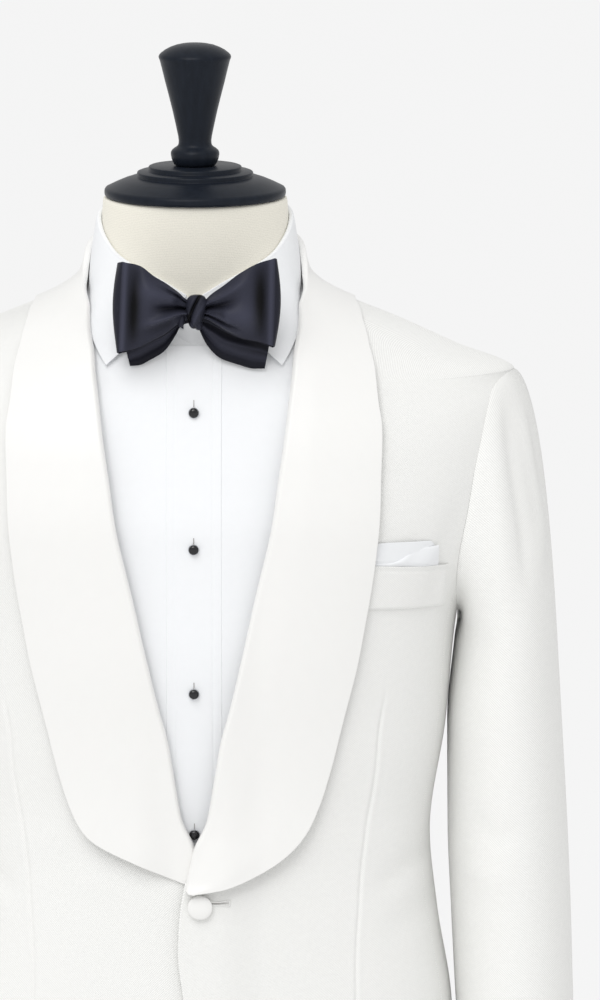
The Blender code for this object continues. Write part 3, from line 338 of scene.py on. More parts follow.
POLE_OUTLINE = (
    (0.0, 0.0303), (0.0196, 0.0303), (0.0208, 0.0315), (0.0211, 0.0335), (0.0205, 0.0355),
    (0.0185, 0.0380), (0.0164, 0.0424), (0.0150, 0.0470), (0.0142, 0.0520), (0.0140, 0.0570),
    (0.0140, 0.2500), (0.0143, 0.2560), (0.0152, 0.2605), (0.0168, 0.2645), (0.0200, 0.2690),
    (0.0240, 0.2712), (0.0256, 0.2722), (0.0260, 0.2738), (0.0258, 0.2752), (0.0250, 0.2757), (0.0, 0.2757),
)


# ---------------------------------------------------------------- user settings
class TuxedoCloth(bpy.types.PropertyGroup):
    """Colours and weave of the cloths."""

    jacket: FloatVectorProperty(
        name="Jacket", description="Colour of the jacket twill",
        subtype="COLOR", size=3, min=0, max=1, default=(0.895, 0.895, 0.875),
    )
    facing: FloatVectorProperty(
        name="Facing", description="Colour of the lapel and button satin",
        subtype="COLOR", size=3, min=0, max=1, default=(0.866, 0.862, 0.845),
    )
    shirt: FloatVectorProperty(
        name="Shirt", description="Colour of the shirt and pocket square",
        subtype="COLOR", size=3, min=0, max=1, default=(0.880, 0.892, 0.908),
    )
    bow: FloatVectorProperty(
        name="Bow tie", description="Colour of the bow tie's satin",
        subtype="COLOR", size=3, min=0, max=1, default=(0.0118, 0.0123, 0.0182),
    )
    rib: FloatProperty(
        name="Twill rib", description="Distance between two ribs of the twill, measured along the cloth",
        unit="LENGTH", precision=5, min=0.0004, max=0.005, default=0.0014,
    )
    drape: FloatProperty(
        name="Drape", description="Height of the soft folds, 1 as worn on the form",
        subtype="FACTOR", min=0, max=2, default=1.0,
    )


class TuxedoStand(bpy.types.PropertyGroup):
    """Finish of the dress form and of its stand."""

    linen: FloatVectorProperty(
        name="Linen", description="Colour of the form's linen cover",
        subtype="COLOR", size=3, min=0, max=1, default=(0.930, 0.900, 0.800),
    )
    lacquer: FloatVectorProperty(
        name="Lacquer", description="Colour of the turned wood",
        subtype="COLOR", size=3, min=0, max=1, default=(0.0095, 0.0125, 0.0190),
    )
    gloss: FloatProperty(
        name="Lacquer roughness", description="Roughness of the turned wood's lacquer",
        subtype="FACTOR", min=0.05, max=1, default=0.36,
    )


class TuxedoStudio(bpy.types.PropertyGroup):
    """Floor, light and camera."""

    surround: FloatProperty(
        name="Surround", description="Strength of the even light from all round",
        min=0, max=4, default=0.72,
    )
    key: FloatProperty(
        name="Key light", description="Strength of the wide soft light from the upper left",
        min=0, max=20, default=1.2,
    )
    floor: FloatVectorProperty(
        name="Floor", description="Colour of the floor",
        subtype="COLOR", size=3, min=0, max=1, default=(0.90, 0.90, 0.90),
    )
    distance: FloatProperty(
        name="Camera distance", description="From the camera to the point that it looks at",
        unit="LENGTH", min=1, max=20, default=5.5,
    )


# ---------------------------------------------------------------- smooth tables and rings
def read_table(keys, values, at):
    """The table's value at any key, on a monotone cubic that never overshoots a row."""
    keys, values = np.asarray(keys, float), np.asarray(values, float)
    at = np.clip(at, keys[0], keys[-1])
    step = np.diff(keys)
    slope = np.diff(values) / step
    tangent = np.concatenate([slope[:1], np.zeros(len(slope) - 1), slope[-1:]])
    for i in range(1, len(slope)):
        if slope[i - 1] * slope[i] > 0:
            tangent[i] = 2 * slope[i - 1] * slope[i] / (slope[i - 1] + slope[i])
    i = np.clip(np.searchsorted(keys, at) - 1, 0, len(step) - 1)
    t = (at - keys[i]) / step[i]
    return (
        (2 * t**3 - 3 * t**2 + 1) * values[i]
        + (t**3 - 2 * t**2 + t) * step[i] * tangent[i]
        + (3 * t**2 - 2 * t**3) * values[i + 1]
        + (t**3 - t**2) * step[i] * tangent[i + 1]
    )


def column(table, k, at):
    rows = np.array(table, float)
    return read_table(rows[:, 0], rows[:, k], at)


def ease(share):
    """0 below 0, 1 above 1, and a smooth step between."""
    share = np.clip(share, 0, 1)
    return share * share * (3 - 2 * share)


def bump(distance, width):
    return np.exp(-((distance / width) ** 2))


def fold(u, v, path, width, height, fade=0.3):
    """Height of a soft ridge, or valley, that follows a path and dies out at both of its ends."""
    path = np.array(path, float)
    lengths = np.linalg.norm(np.diff(path, axis=0), axis=1)
    starts = np.concatenate([[0], np.cumsum(lengths)])
    nearest, share = np.full(np.shape(u), np.inf), np.zeros(np.shape(u))
    for a, b, start, length in zip(path, path[1:], starts, lengths):
        t = np.clip(((u - a[0]) * (b[0] - a[0]) + (v - a[1]) * (b[1] - a[1])) / length**2, 0, 1)
        away = np.hypot(u - a[0] - t * (b[0] - a[0]), v - a[1] - t * (b[1] - a[1]))
        closer = away < nearest
        nearest = np.where(closer, away, nearest)
        share = np.where(closer, (start + t * length) / starts[-1], share)
    return height * bump(nearest, width) * ease(share / fade) * ease((1 - share) / fade)


class Rings:
    """A body's surface, made of horizontal rings that are read smoothly from a table."""

    def __init__(self, rows, soft=0.0):
        self.heights, *self.columns = np.array(rows, float).T
        self.soft = soft

    def ring(self, height):
        return [read_table(self.heights, values, height) for values in self.columns]

    def point(self, angle, height):
        return self.softened(angle, height) if self.soft else self.exact(angle, height)

    def exact(self, angle, height):
        angle, height = np.broadcast_arrays(np.asarray(angle, float), np.asarray(height, float))
        half_width, front, back, middle, square = self.ring(height)
        sine, cosine = np.sin(np.radians(angle)), np.cos(np.radians(angle))
        depth = np.where(cosine > 0, middle - front, back - middle)
        reach = ((np.abs(sine) / half_width) ** square + (np.abs(cosine) / depth) ** square) ** (-1 / square)
        return np.stack([reach * sine, middle - reach * cosine, height], axis=-1)

    def softened(self, angle, height):
        """The same place with the shoulder's crease spread out, except along the shoulder seam."""
        angle, height = np.broadcast_arrays(np.asarray(angle, float), np.asarray(height, float))
        away = 1 - bump(np.abs(np.abs(angle) - 90), 14.0)
        reach = self.soft * away * bump(height - 0.950, 0.030)
        total = np.zeros((*height.shape, 3))
        for offset, weight in ((-1, 0.12), (-0.5, 0.23), (0, 0.30), (0.5, 0.23), (1, 0.12)):
            total = total + weight * self.exact(angle, height + offset * reach)
        total[..., 2] = height
        return total

    def outward(self, angle, height):
        small_angle, small_height = 0.2, 0.0004
        across = self.point(angle + small_angle, height) - self.point(angle - small_angle, height)
        up = self.point(angle, height + small_height) - self.point(angle, height - small_height)
        normal = np.cross(across, up)
        return normal / np.linalg.norm(normal, axis=-1, keepdims=True)

    def at(self, angle, height, lift=0.0):
        angle, height, lift = np.broadcast_arrays(*(np.asarray(v, float) for v in (angle, height, lift)))
        return self.point(angle, height) + self.outward(angle, height) * lift[..., None]

    def girth(self, angle, height):
        """Distance round the ring from centre front to an angle."""
        share = np.linspace(0, 1, 19)
        walk = self.point(np.asarray(angle)[..., None] * share, np.asarray(height)[..., None])
        length = np.linalg.norm(np.diff(walk, axis=-2), axis=-1).sum(axis=-1)
        return length * np.sign(angle)

    def _angle_where(self, value, height, axis, most):
        value, height = np.broadcast_arrays(np.asarray(value, float), np.asarray(height, float))
        low, high = np.zeros(value.shape), np.full(value.shape, most)
        for _ in range(32):
            middle = (low + high) / 2
            below = self.point(middle, height)[..., axis] < value
            low, high = np.where(below, middle, low), np.where(below, high, middle)
        return (low + high) / 2

    def angle_of_x(self, x, height):
        """The angle on the front half where the surface has that x."""
        return np.sign(x) * self._angle_where(np.abs(x), height, 0, 90.0)

    def angle_of_y(self, y, height):
        """The angle on the wearer's left where the surface has that y."""
        return self._angle_where(y, height, 1, 180.0)


JACKET = Rings(JACKET_RINGS, 0.015)
FORM = Rings(FORM_RINGS)
EDGE_SHARE = 0.06            # of a grid's first step, where a line is added to hold the edge
METRES_PER_DEGREE = 0.0031   # round the jacket, near enough for placing a fold


def body_drape(angle, height):
    """Height of all the jacket's soft folds at a place."""
    angle, height = np.broadcast_arrays(np.asarray(angle, float), np.asarray(height, float))
    total = np.zeros(angle.shape)
    for path, width, amount in BODY_FOLDS:
        metres = [(a * METRES_PER_DEGREE, h) for a, h in path]
        total = total + fold(np.abs(angle) * METRES_PER_DEGREE, height, metres, width, amount)
    return total * bpy.context.scene.tuxedo_cloth.drape


def lap_lift(x, height, side):
    """The left front and what lies on it stand off the body where they lap over the right front."""
    if side < 0:
        return np.zeros(np.broadcast(x, height).shape)
    return LAP_LIFT * ease((0.050 - x) / 0.034) * ease((height - 0.36) / 0.08)


def jacket_at(angle, height, lift, side):
    """A place on the draped jacket, in the left half's coordinates."""
    angle, height = np.broadcast_arrays(np.asarray(angle, float), np.asarray(height, float))
    x = JACKET.point(angle, height)[..., 0]
    return JACKET.at(angle, height, lift + lap_lift(x, height, side) + body_drape(angle, height))


# ---------------------------------------------------------------- cloth
def unit(vectors):
    return vectors / np.maximum(np.linalg.norm(vectors, axis=-1, keepdims=True), 1e-12)


def grid_normals(grid):
    return unit(np.cross(np.gradient(grid, axis=1), np.gradient(grid, axis=0)))


def walked(grid, axis):
    """Distance along the grid's lines from their first point."""
    step = np.linalg.norm(np.diff(grid, axis=axis), axis=-1)
    pad = [(1, 0), (0, 0)] if axis == 0 else [(0, 0), (1, 0)]
    return np.cumsum(np.pad(step, pad), axis=axis)


def cloth_uv(grid):
    """Measured along the cloth, in metres, with the grain upright at the middle column."""
    across = walked(grid, 1)
    middle = across.shape[1] // 2
    return np.stack([across - across[:, middle:middle + 1], walked(grid, 0) + grid[0, :, 2]], axis=-1)


def finish_mesh(name, points, faces, finishes, uv=None, inner_from=None, side=1):
    mesh = bpy.data.meshes.new(name)
    mesh.from_pydata((np.asarray(points) * (side, 1, 1)).tolist(), [], faces)
    if uv is not None:
        layer = mesh.uv_layers.new(name="cloth")
        corner = np.empty(len(mesh.loops), np.int32)
        mesh.loops.foreach_get("vertex_index", corner)
        layer.uv.foreach_set("vector", np.asarray(uv)[corner].astype(np.float32).ravel())
    for finish in finishes:
        mesh.materials.append(finish)
    if inner_from is not None and len(finishes) > 1:
        index = np.zeros(len(mesh.polygons), np.int32)
        index[inner_from[0]:inner_from[1]] = 1
        mesh.polygons.foreach_set("material_index", index)
    work = bmesh.new()
    work.from_mesh(mesh)
    bmesh.ops.recalc_face_normals(work, faces=work.faces)
    work.to_mesh(mesh)
    work.free()
    mesh.shade_smooth()
    made = bpy.data.objects.new(name, mesh)
    bpy.context.scene.collection.objects.link(made)
    return made


def held_edges(grid):
    """The grid with one more line of points just inside each edge, which keeps the shading even up to it."""
    for axis in (0, 1):
        grid = np.moveaxis(grid, axis, 0)
        near = grid[:1] + (grid[1:2] - grid[:1]) * EDGE_SHARE
        far = grid[-1:] + (grid[-2:-1] - grid[-1:]) * EDGE_SHARE
        grid = np.moveaxis(np.concatenate([grid[:1], near, grid[1:-1], far, grid[-1:]]), 0, axis)
    return grid


def ringed_faces(rows, turns):
    """Faces round a stack of rings. The two points that follow the rings close its ends."""
    last, faces = (rows - 1) * turns, []
    for c in range(turns):
        d = (c + 1) % turns
        for low in range(0, last, turns):
            faces.append((low + c, low + d, low + turns + d, low + turns + c))
        faces += [(rows * turns, d, c), (rows * turns + 1, last + c, last + d)]
    return faces


def set_painted_fold_light(piece, values):
    """Stores at each point the painted highlight and painted shade of the satin's folds there."""
    layer = piece.data.attributes.new("painted_fold_light", "FLOAT", "POINT")
    layer.data.foreach_set("value", np.asarray(values, np.float32))


def cloth(name, outer, thick, finishes, uv=None, rims=(0.0008,) * 4, side=1, normal=None, painted_fold_light=None):
    """A closed sheet below a grid of outer points, with its four edges rounded.

    rims is how far the round reaches past the first row, the last row, the first column and the last column.
    """
    normal = grid_normals(outer) if normal is None else normal
    thick = np.broadcast_to(thick, outer.shape[:2])[..., None]
    uv = cloth_uv(outer) if uv is None else uv
    # the painted highlight and shade of the bow's satin folds, an even middle value where none is given
    painted_fold_light = np.full(thick.shape, 0.5) if painted_fold_light is None else painted_fold_light[..., None]
    outer, normal, thick, uv, painted_fold_light = (held_edges(grid) for grid in (outer, normal, thick, uv, painted_fold_light))
    rows, columns = outer.shape[:2]
    inner = outer - normal * thick
    reach = np.zeros_like(outer)
    reach[0] += unit(outer[0] - outer[1]) * rims[0]
    reach[-1] += unit(outer[-1] - outer[-2]) * rims[1]
    reach[:, 0] += unit(outer[:, 0] - outer[:, 1]) * rims[2]
    reach[:, -1] += unit(outer[:, -1] - outer[:, -2]) * rims[3]
    index = np.arange(rows * columns).reshape(rows, columns)
    rim = np.concatenate([index[0], index[1:, -1], index[-1, -2::-1], index[-2:0:-1, 0]])
    flat = [grid.reshape(-1, grid.shape[-1]) for grid in (outer, inner, normal, reach, uv, thick)]
    flat_outer, flat_inner, flat_normal, flat_reach, flat_uv, flat_thick = flat
    rounds = []
    steps = 6
    for k in range(1, steps):
        turn = math.pi * k / steps
        middle = (flat_outer[rim] + flat_inner[rim]) / 2
        lift = flat_normal[rim] * flat_thick[rim] / 2 * math.cos(turn)
        rounds.append(middle + lift + flat_reach[rim] * math.sin(turn))
    points = np.concatenate([flat_outer, *rounds, flat_inner])
    count = rows * columns
    loops = [rim] + [count + k * len(rim) + np.arange(len(rim)) for k in range(steps - 1)]
    below = count + (steps - 1) * len(rim)
    loops.append(rim + below)
    a, b, c, d = index[:-1, :-1], index[:-1, 1:], index[1:, 1:], index[1:, :-1]
    top = np.stack([a, b, c, d], axis=-1).reshape(-1, 4)
    around = [
        np.stack([low, high, np.roll(high, -1), np.roll(low, -1)], axis=-1)
        for low, high in zip(loops, loops[1:])
    ]
    faces = np.concatenate([top, *around, top[:, ::-1] + below]).tolist()
    all_uv = np.concatenate([flat_uv, np.tile(flat_uv[rim], (steps - 1, 1)), flat_uv])
    inner_from = (len(faces) - len(top), len(faces))
    made = finish_mesh(name, points, faces, finishes, all_uv, inner_from, side)
    # the painted highlight and shade, carried over onto the rounded edges
    painted_light_values = painted_fold_light.reshape(-1)
    set_painted_fold_light(made, np.concatenate([painted_light_values, np.tile(painted_light_values[rim], steps - 1), painted_light_values]))
    return made


def spread(first, last, shares):
    """Grid columns between two edges, at the given shares."""
    return first[:, None] * (1 - shares) + last[:, None] * shares


def sewn(piece, nodes):
    """Rides the root body and stands for its CAD solids, which it hides."""
    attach(piece, "root")
    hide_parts(*nodes)
    return piece


def declare_sheet(piece, nodes):
    return sewn(piece, nodes)


# ---------------------------------------------------------------- finishes
def node(tree, kind, inputs=None, **settings):
    made = tree.nodes.new("ShaderNode" + kind)
    for key, value in settings.items():
        setattr(made, key, value)
    for key, value in (inputs or {}).items():
        if isinstance(value, bpy.types.NodeSocket):
            tree.links.new(value, made.inputs[key])
        else:
            made.inputs[key].default_value = value
    return made


def start_finish(name, roughness, sockets):
    made = bpy.data.materials.new(name)
    made.use_nodes = True
    shader = made.node_tree.nodes["Principled BSDF"]
    shader.inputs["Roughness"].default_value = roughness
    for socket, value in sockets.items():
        shader.inputs[socket].default_value = value
    return made, made.node_tree, shader


def tint(colour, amount):
    return tuple(min(1.0, channel * amount) for channel in colour)


def dye(tree, shader, factor, colour, low, high, span=(0.0, 1.0)):
    """Colours the cloth between a low and a high tint of a colour, as a factor crosses a span."""
    ramp = node(tree, "ValToRGB", {"Fac": factor})
    for element, amount, place in zip(ramp.color_ramp.elements, (low, high), span):
        element.position = place
        element.color = (*tint(colour, amount), 1.0)
    tree.links.new(ramp.outputs["Color"], shader.inputs["Base Color"])


def ribs(tree, vector, turn, pitch, uneven=1.0):
    """Lines at a pitch in metres, their yarn a little uneven."""
    laid = node(tree, "Mapping", {"Vector": vector, "Rotation": (0, 0, math.radians(turn))}).outputs["Vector"]
    return node(tree, "TexWave", {
        "Vector": laid, "Scale": math.pi / (10 * pitch), "Distortion": uneven,
        "Detail": 2.0, "Detail Scale": 0.8,
    }, wave_type="BANDS", bands_direction="X", wave_profile="SIN").outputs["Fac"]


def plain_weave(tree, vector, warp, weft, uneven):
    """Warp and weft lines, each at its pitch, multiplied."""
    warp, weft = ribs(tree, vector, 0, warp, uneven), ribs(tree, vector, 90, weft, uneven)
    return node(tree, "Math", {0: warp, 1: weft}, operation="MULTIPLY").outputs[0]


def blend_factor(tree, fine, coarse, share):
    """The fine pattern with a share of the coarse one mixed in."""
    scaled = node(tree, "Math", {0: fine, 1: 1 - share}, operation="MULTIPLY").outputs[0]
    return node(tree, "Math", {0: coarse, 1: share, 2: scaled}, operation="MULTIPLY_ADD").outputs[0]


def clouds(tree, vector, scale, detail=3.0):
    return node(tree, "TexNoise", {"Vector": vector, "Scale": scale, "Detail": detail}).outputs["Fac"]


def raise_by(tree, shader, height, strength, distance):
    lifted = node(tree, "Bump", {"Height": height, "Strength": strength, "Distance": distance})
    tree.links.new(lifted.outputs["Normal"], shader.inputs["Normal"])


def cloth_coordinates(tree):
    return node(tree, "UVMap", uv_map="cloth").outputs["UV"]


def twill_finish(name, colour, pitch):
    made, tree, shader = start_finish(name, 0.82, {
        "Sheen Weight": 0.12, "Sheen Roughness": 0.5, "Specular IOR Level": 0.25,
    })
    uv = cloth_coordinates(tree)
    rib = ribs(tree, uv, 38, pitch, 1.6)
    slub = clouds(tree, uv, 260)
    body = blend_factor(tree, rib, slub, 0.25)
    dye(tree, shader, body, colour, 0.86, 1.07)
    raise_by(tree, shader, body, 0.6, 0.00025)
    return made


def satin_finish(name, colour, roughness, sheen, specular, grain, relief):
    made, tree, shader = start_finish(name, roughness, {
        "Sheen Weight": sheen, "Sheen Roughness": 0.35, "Specular IOR Level": specular,
    })
    uv = cloth_coordinates(tree)
    yarn = ribs(tree, uv, 90, 0.00042, 2.5)
    cloud = clouds(tree, uv, 90)
    body = blend_factor(tree, yarn, cloud, 0.5)
    dye(tree, shader, body, colour, 1 - grain, 1 + grain)
    raise_by(tree, shader, body, relief, 0.00008)
    return made


def painted_light_tie_finish(name, colour):
    """Heavy black satin: grainy, with painted highlights along its ridges and painted shade, nearly black, in
    its folds.
    """
    made, tree, shader = start_finish(name, 0.42, {"Specular IOR Level": 0.10})
    uv = cloth_coordinates(tree)
    # the painted highlight and shade stored on each piece, mixed below with the grain
    folded = node(tree, "Attribute", attribute_name="painted_fold_light").outputs["Fac"]
    speck = clouds(tree, uv, 1500, 2.0)
    body = blend_factor(tree, folded, speck, 0.26)
    # base colour from nearly black in the painted shade to five times the satin's colour in the painted
    # highlights
    dye(tree, shader, body, colour, 0.12, 5.2, (0.18, 0.80))
    raise_by(tree, shader, speck, 0.35, 0.00012)
    return made


def weave_finish(name, colour, pitch, contrast, relief):
    """A plain weave: warp and weft lines multiplied."""
    made, tree, shader = start_finish(name, 0.78, {"Sheen Weight": 0.08, "Specular IOR Level": 0.25})
    uv = cloth_coordinates(tree)
    crossed = plain_weave(tree, uv, pitch, pitch * 1.1, 1.2)
    body = blend_factor(tree, crossed, clouds(tree, uv, 140), 0.4)
    dye(tree, shader, body, colour, 1 - contrast, 1 + contrast)
    raise_by(tree, shader, body, relief, 0.00015)
    return made


def linen_finish(name, colour):
    """A slubby plain weave with small dark and light specks of the raw yarn."""
    made, tree, shader = start_finish(name, 0.88, {"Sheen Weight": 0.1, "Specular IOR Level": 0.2})
    uv = cloth_coordinates(tree)
    crossed = plain_weave(tree, uv, 0.0010, 0.0012, 3.0)
    speck = clouds(tree, uv, 900, 1.0)
    body = blend_factor(tree, crossed, speck, 0.6)
    dye(tree, shader, body, colour, 0.88, 1.05, (0.22, 0.72))
    raise_by(tree, shader, body, 0.5, 0.0003)
    return made


def lacquer_finish(name, colour, roughness):
    """Black-stained wood under a thin even lacquer, with the grain just showing."""
    made, tree, shader = start_finish(name, roughness, {"Specular IOR Level": 0.13})
    place = node(tree, "TexCoord").outputs["Object"]
    long_grain = node(tree, "Mapping", {"Vector": place, "Scale": (260, 260, 18)}).outputs["Vector"]
    grain = clouds(tree, long_grain, 1.0, 4.0)
    dye(tree, shader, grain, colour, 0.7, 1.5)
    raise_by(tree, shader, clouds(tree, place, 900, 2.0), 0.2, 0.00008)
    return made


def gloss_finish(name, colour, roughness, metallic=0.0):
    """A hard polished face with faint clouding in its depth."""
    made, tree, shader = start_finish(name, roughness, {"Metallic": metallic})
    place = node(tree, "TexCoord").outputs["Object"]
    cloud = clouds(tree, place, 700, 2.0)
    dye(tree, shader, cloud, colour, 0.8, 1.25)
    raise_by(tree, shader, cloud, 0.03, 0.00005)
    return made


def thread_finish(name, colour):
    made, tree, shader = start_finish(name, 0.7, {"Sheen Weight": 0.1, "Specular IOR Level": 0.3})
    place = node(tree, "TexCoord").outputs["Object"]
    twist = clouds(tree, place, 2600, 1.0)
    dye(tree, shader, twist, colour, 0.85, 1.05)
    raise_by(tree, shader, twist, 0.5, 0.0002)
    return made


def finishes():
    """Every finish by its name, made once."""
    if "wool_twill" not in bpy.data.materials:
        cloths, stand = bpy.context.scene.tuxedo_cloth, bpy.context.scene.tuxedo_stand
        chosen = (cloths.jacket, cloths.facing, cloths.shirt, cloths.bow)
        jacket, facing, shirt, bow = (tuple(colour) for colour in chosen)
        twill_finish("wool_twill", jacket, cloths.rib * math.sin(math.radians(52)))
        satin_finish("facing_satin", facing, 0.42, 0.15, 0.45, 0.02, 0.25)
        satin_finish("lining_satin", tint(facing, 0.93), 0.5, 0.1, 0.4, 0.03, 0.2)
        weave_finish("shirt_weave", shirt, 0.00055, 0.03, 0.3)
        weave_finish("square_weave", tint(shirt, 0.985), 0.00048, 0.04, 0.35)
        painted_light_tie_finish("tie_satin", bow)
        linen_finish("form_cover_linen", tuple(stand.linen))
        lacquer_finish("stained_wood", tuple(stand.lacquer), stand.gloss)
        gloss_finish("stud_face", (0.008, 0.008, 0.010), 0.07)
        gloss_finish("stud_rim", (0.55, 0.56, 0.58), 0.28, 1.0)
        thread_finish("white_thread", tint(jacket, 0.97))
        # a flat grey that paints the shadow inside the buttonhole slits
        thread_finish("slit_shadow", (0.42, 0.41, 0.40))
    return bpy.data.materials


def lined_twill():
    return [finishes()["wool_twill"], finishes()["lining_satin"]]


# ---------------------------------------------------------------- jacket body
SEAM_STEPS, HOLE_STEPS, SHOULDER_STEPS, UNDER_STEPS = 96, 42, 26, 21
SEAM_SHARES = np.linspace(0, 1, SEAM_STEPS)


def armhole_height(y):
    """Height of the armhole's lower edge at this y."""
    drop = np.sqrt(np.clip(1 - ((np.asarray(y) - ARMHOLE_Y) / ARMHOLE_DEPTH) ** 2, 0, 1))
    return ARMHOLE_MIDDLE - (ARMHOLE_MIDDLE - ARMPIT) * drop


def armhole_reach(height):
    """How far the armhole's edge lies before or behind its middle at this height."""
    rise = np.where(height > ARMHOLE_MIDDLE, SHOULDER_TIP - ARMHOLE_MIDDLE, ARMHOLE_MIDDLE - ARMPIT)
    return ARMHOLE_DEPTH * np.sqrt(np.clip(1 - ((height - ARMHOLE_MIDDLE) / rise) ** 2, 0, 1))


def armhole_rows(seam_y):
    """Heights from the top of a side seam to the shoulder tip, closer together near the tip."""
    low = float(armhole_height(seam_y))
    turn = np.linspace(math.acos(-(ARMHOLE_MIDDLE - low) / (ARMHOLE_MIDDLE - ARMPIT)), 0, HOLE_STEPS + 1)
    rise = np.where(np.cos(turn) > 0, SHOULDER_TIP - ARMHOLE_MIDDLE, ARMHOLE_MIDDLE - ARMPIT)
    return ARMHOLE_MIDDLE + rise * np.cos(turn)


def half_gap(height):
    """Half the gap between two panels as an angle at this height."""
    return np.degrees(PANEL_GAP / 2 / JACKET.ring(height)[0])


def seam_heights(y):
    return JACKET_HEM + SEAM_SHARES * (armhole_height(y) - JACKET_HEM)


def panel_side(seam_y, away):
    """Heights and angles up a panel's side: the side seam, the armhole's edge, then the shoulder seam."""
    seam = seam_heights(seam_y)
    hole = armhole_rows(seam_y)[1:]
    height = np.concatenate([seam, hole, np.linspace(SHOULDER_TIP, NECK_SEAM, SHOULDER_STEPS)[1:]])
    angle = np.full(len(height), 90.0)
    angle[:len(seam)] = JACKET.angle_of_y(seam_y, seam)
    edge_y = ARMHOLE_Y + away * armhole_reach(hole[:-1])
    angle[len(seam):len(seam) + len(edge_y)] = JACKET.angle_of_y(edge_y, hole[:-1])
    return height, angle + away * half_gap(height)


def front_panel(side):
    """A front: its free edge ends inside the shawl's roll, and its dart is a narrow pressed groove."""
    seam_height, seam_angle = panel_side(SIDE_SEAM_FRONT, -1)
    edge_height = seam_height.copy()
    edge_height[:SEAM_STEPS] = column(SEAM_ROWS, 1, SEAM_SHARES)
    inside_roll = 0.0045 * ease((edge_height - 0.602) / 0.014)
    edge_x = column(FRONT_EDGE, 1, edge_height) + inside_roll
    edge_angle = JACKET.angle_of_x(edge_x, edge_height)
    middle = (edge_height + seam_height) / 2
    dart_angle = JACKET.angle_of_x(column(DART, 1, middle), middle)
    width = JACKET.girth(seam_angle, middle) - JACKET.girth(edge_angle, middle)
    dart = ((dart_angle - edge_angle) / (seam_angle - edge_angle))[:, None]
    across = np.array([-7, -4.5, -3, -2, -1.3, -0.7, 0, 0.7, 1.3, 2, 3, 4.5, 7]) * 0.001
    near = dart + across / width[:, None]
    first, last = near[:, :1], near[:, -1:]
    shares = np.concatenate([
        first * np.linspace(0, 1, 34)[:-1], near, last + (1 - last) * np.linspace(0, 1, 34)[1:],
    ], axis=1)
    settle = ease(1.4 * shares)
    angle = spread(edge_angle, seam_angle, shares)
    height = spread(edge_height, seam_height, settle)
    off = (shares - dart) * width[:, None]
    sewn_part = ease((height - 0.385) / 0.06) * ease((0.742 - height) / 0.03)
    lift = -0.0008 * bump(off, 0.0011) * sewn_part + 0.0003 * bump(np.abs(off) - 0.0028, 0.0015) * sewn_part
    outer = jacket_at(angle, height, lift, side)
    uv = cloth_uv(outer) * (side, 1)
    made = cloth(f"front_panel_{HAND[side]}", outer, JACKET_CLOTH,
                 lined_twill(), uv,
                 (0.0010, 0.0004, 0.0010, SEAM_ROUND), side)
    declare_sheet(made, [f"jacket_front_{HAND[side]}"])


def side_panel(side):
    seam_y = np.linspace(SIDE_SEAM_FRONT, SIDE_SEAM_BACK, 37)
    height = np.stack([seam_heights(y) for y in seam_y], axis=1)
    angle = JACKET.angle_of_y(np.broadcast_to(seam_y, height.shape), height)
    gap = half_gap(height[:, 0])[:, None]
    angle = angle + gap * np.linspace(1, -1, 37)
    outer = jacket_at(angle, height, 0.0, side)
    made = cloth(f"side_panel_{HAND[side]}", outer, JACKET_CLOTH,
                 lined_twill(), cloth_uv(outer) * (side, 1),
                 (0.0010, 0.0004, SEAM_ROUND, SEAM_ROUND), side)
    declare_sheet(made, [f"jacket_side_{HAND[side]}"])


def back_panel(side):
    height, seam_angle = panel_side(SIDE_SEAM_BACK, 1)
    angle = spread(seam_angle, 180.0 - half_gap(height), np.linspace(0, 1, 61))
    outer = jacket_at(angle, np.broadcast_to(height[:, None], angle.shape), 0.0, side)
    made = cloth(f"back_panel_{HAND[side]}", outer, JACKET_CLOTH,
                 lined_twill(), cloth_uv(outer) * (side, 1),
                 (0.0010, 0.0004, SEAM_ROUND, SEAM_ROUND), side)
    declare_sheet(made, [f"jacket_back_{HAND[side]}"])


# ---------------------------------------------------------------- shawl
def shawl_lift(share, height, x, side):
    """How far the underside of the shawl stands off the jacket, across its width."""
    neck = ease((height - 0.950) / 0.045)
    chest = 0.0020 + 0.0014 * ease(share / 0.35) + 0.0010 * share
    free = ease((np.abs(x) - 0.012) / 0.030) if side < 0 else 1.0
    belly = 0.0045 * ease(share / 0.8) * np.exp(-(((height - 0.615) / 0.045) ** 2))
    chest = 0.0010 + (chest + belly - 0.0010) * free
    return chest * (1 - neck) + 0.0012 * neck


def shawl_guides(rows):
    front, neck = np.array(SHAWL_FRONT), np.array(SHAWL_NECK)
    roll_angle = np.concatenate([JACKET.angle_of_x(front[:, 0], front[:, 1]), neck[:, 0]])
    edge_angle = np.concatenate([JACKET.angle_of_x(front[:, 2], front[:, 3]), neck[:, 2]])
    roll_height = np.concatenate([front[:, 1], neck[:, 1]])
    edge_height = np.concatenate([front[:, 3], neck[:, 3]])
    station = np.arange(len(roll_angle))
    at = np.linspace(0, station[-1], rows)
    return [read_table(station, guide, at) for guide in (roll_angle, roll_height, edge_angle, edge_height)]


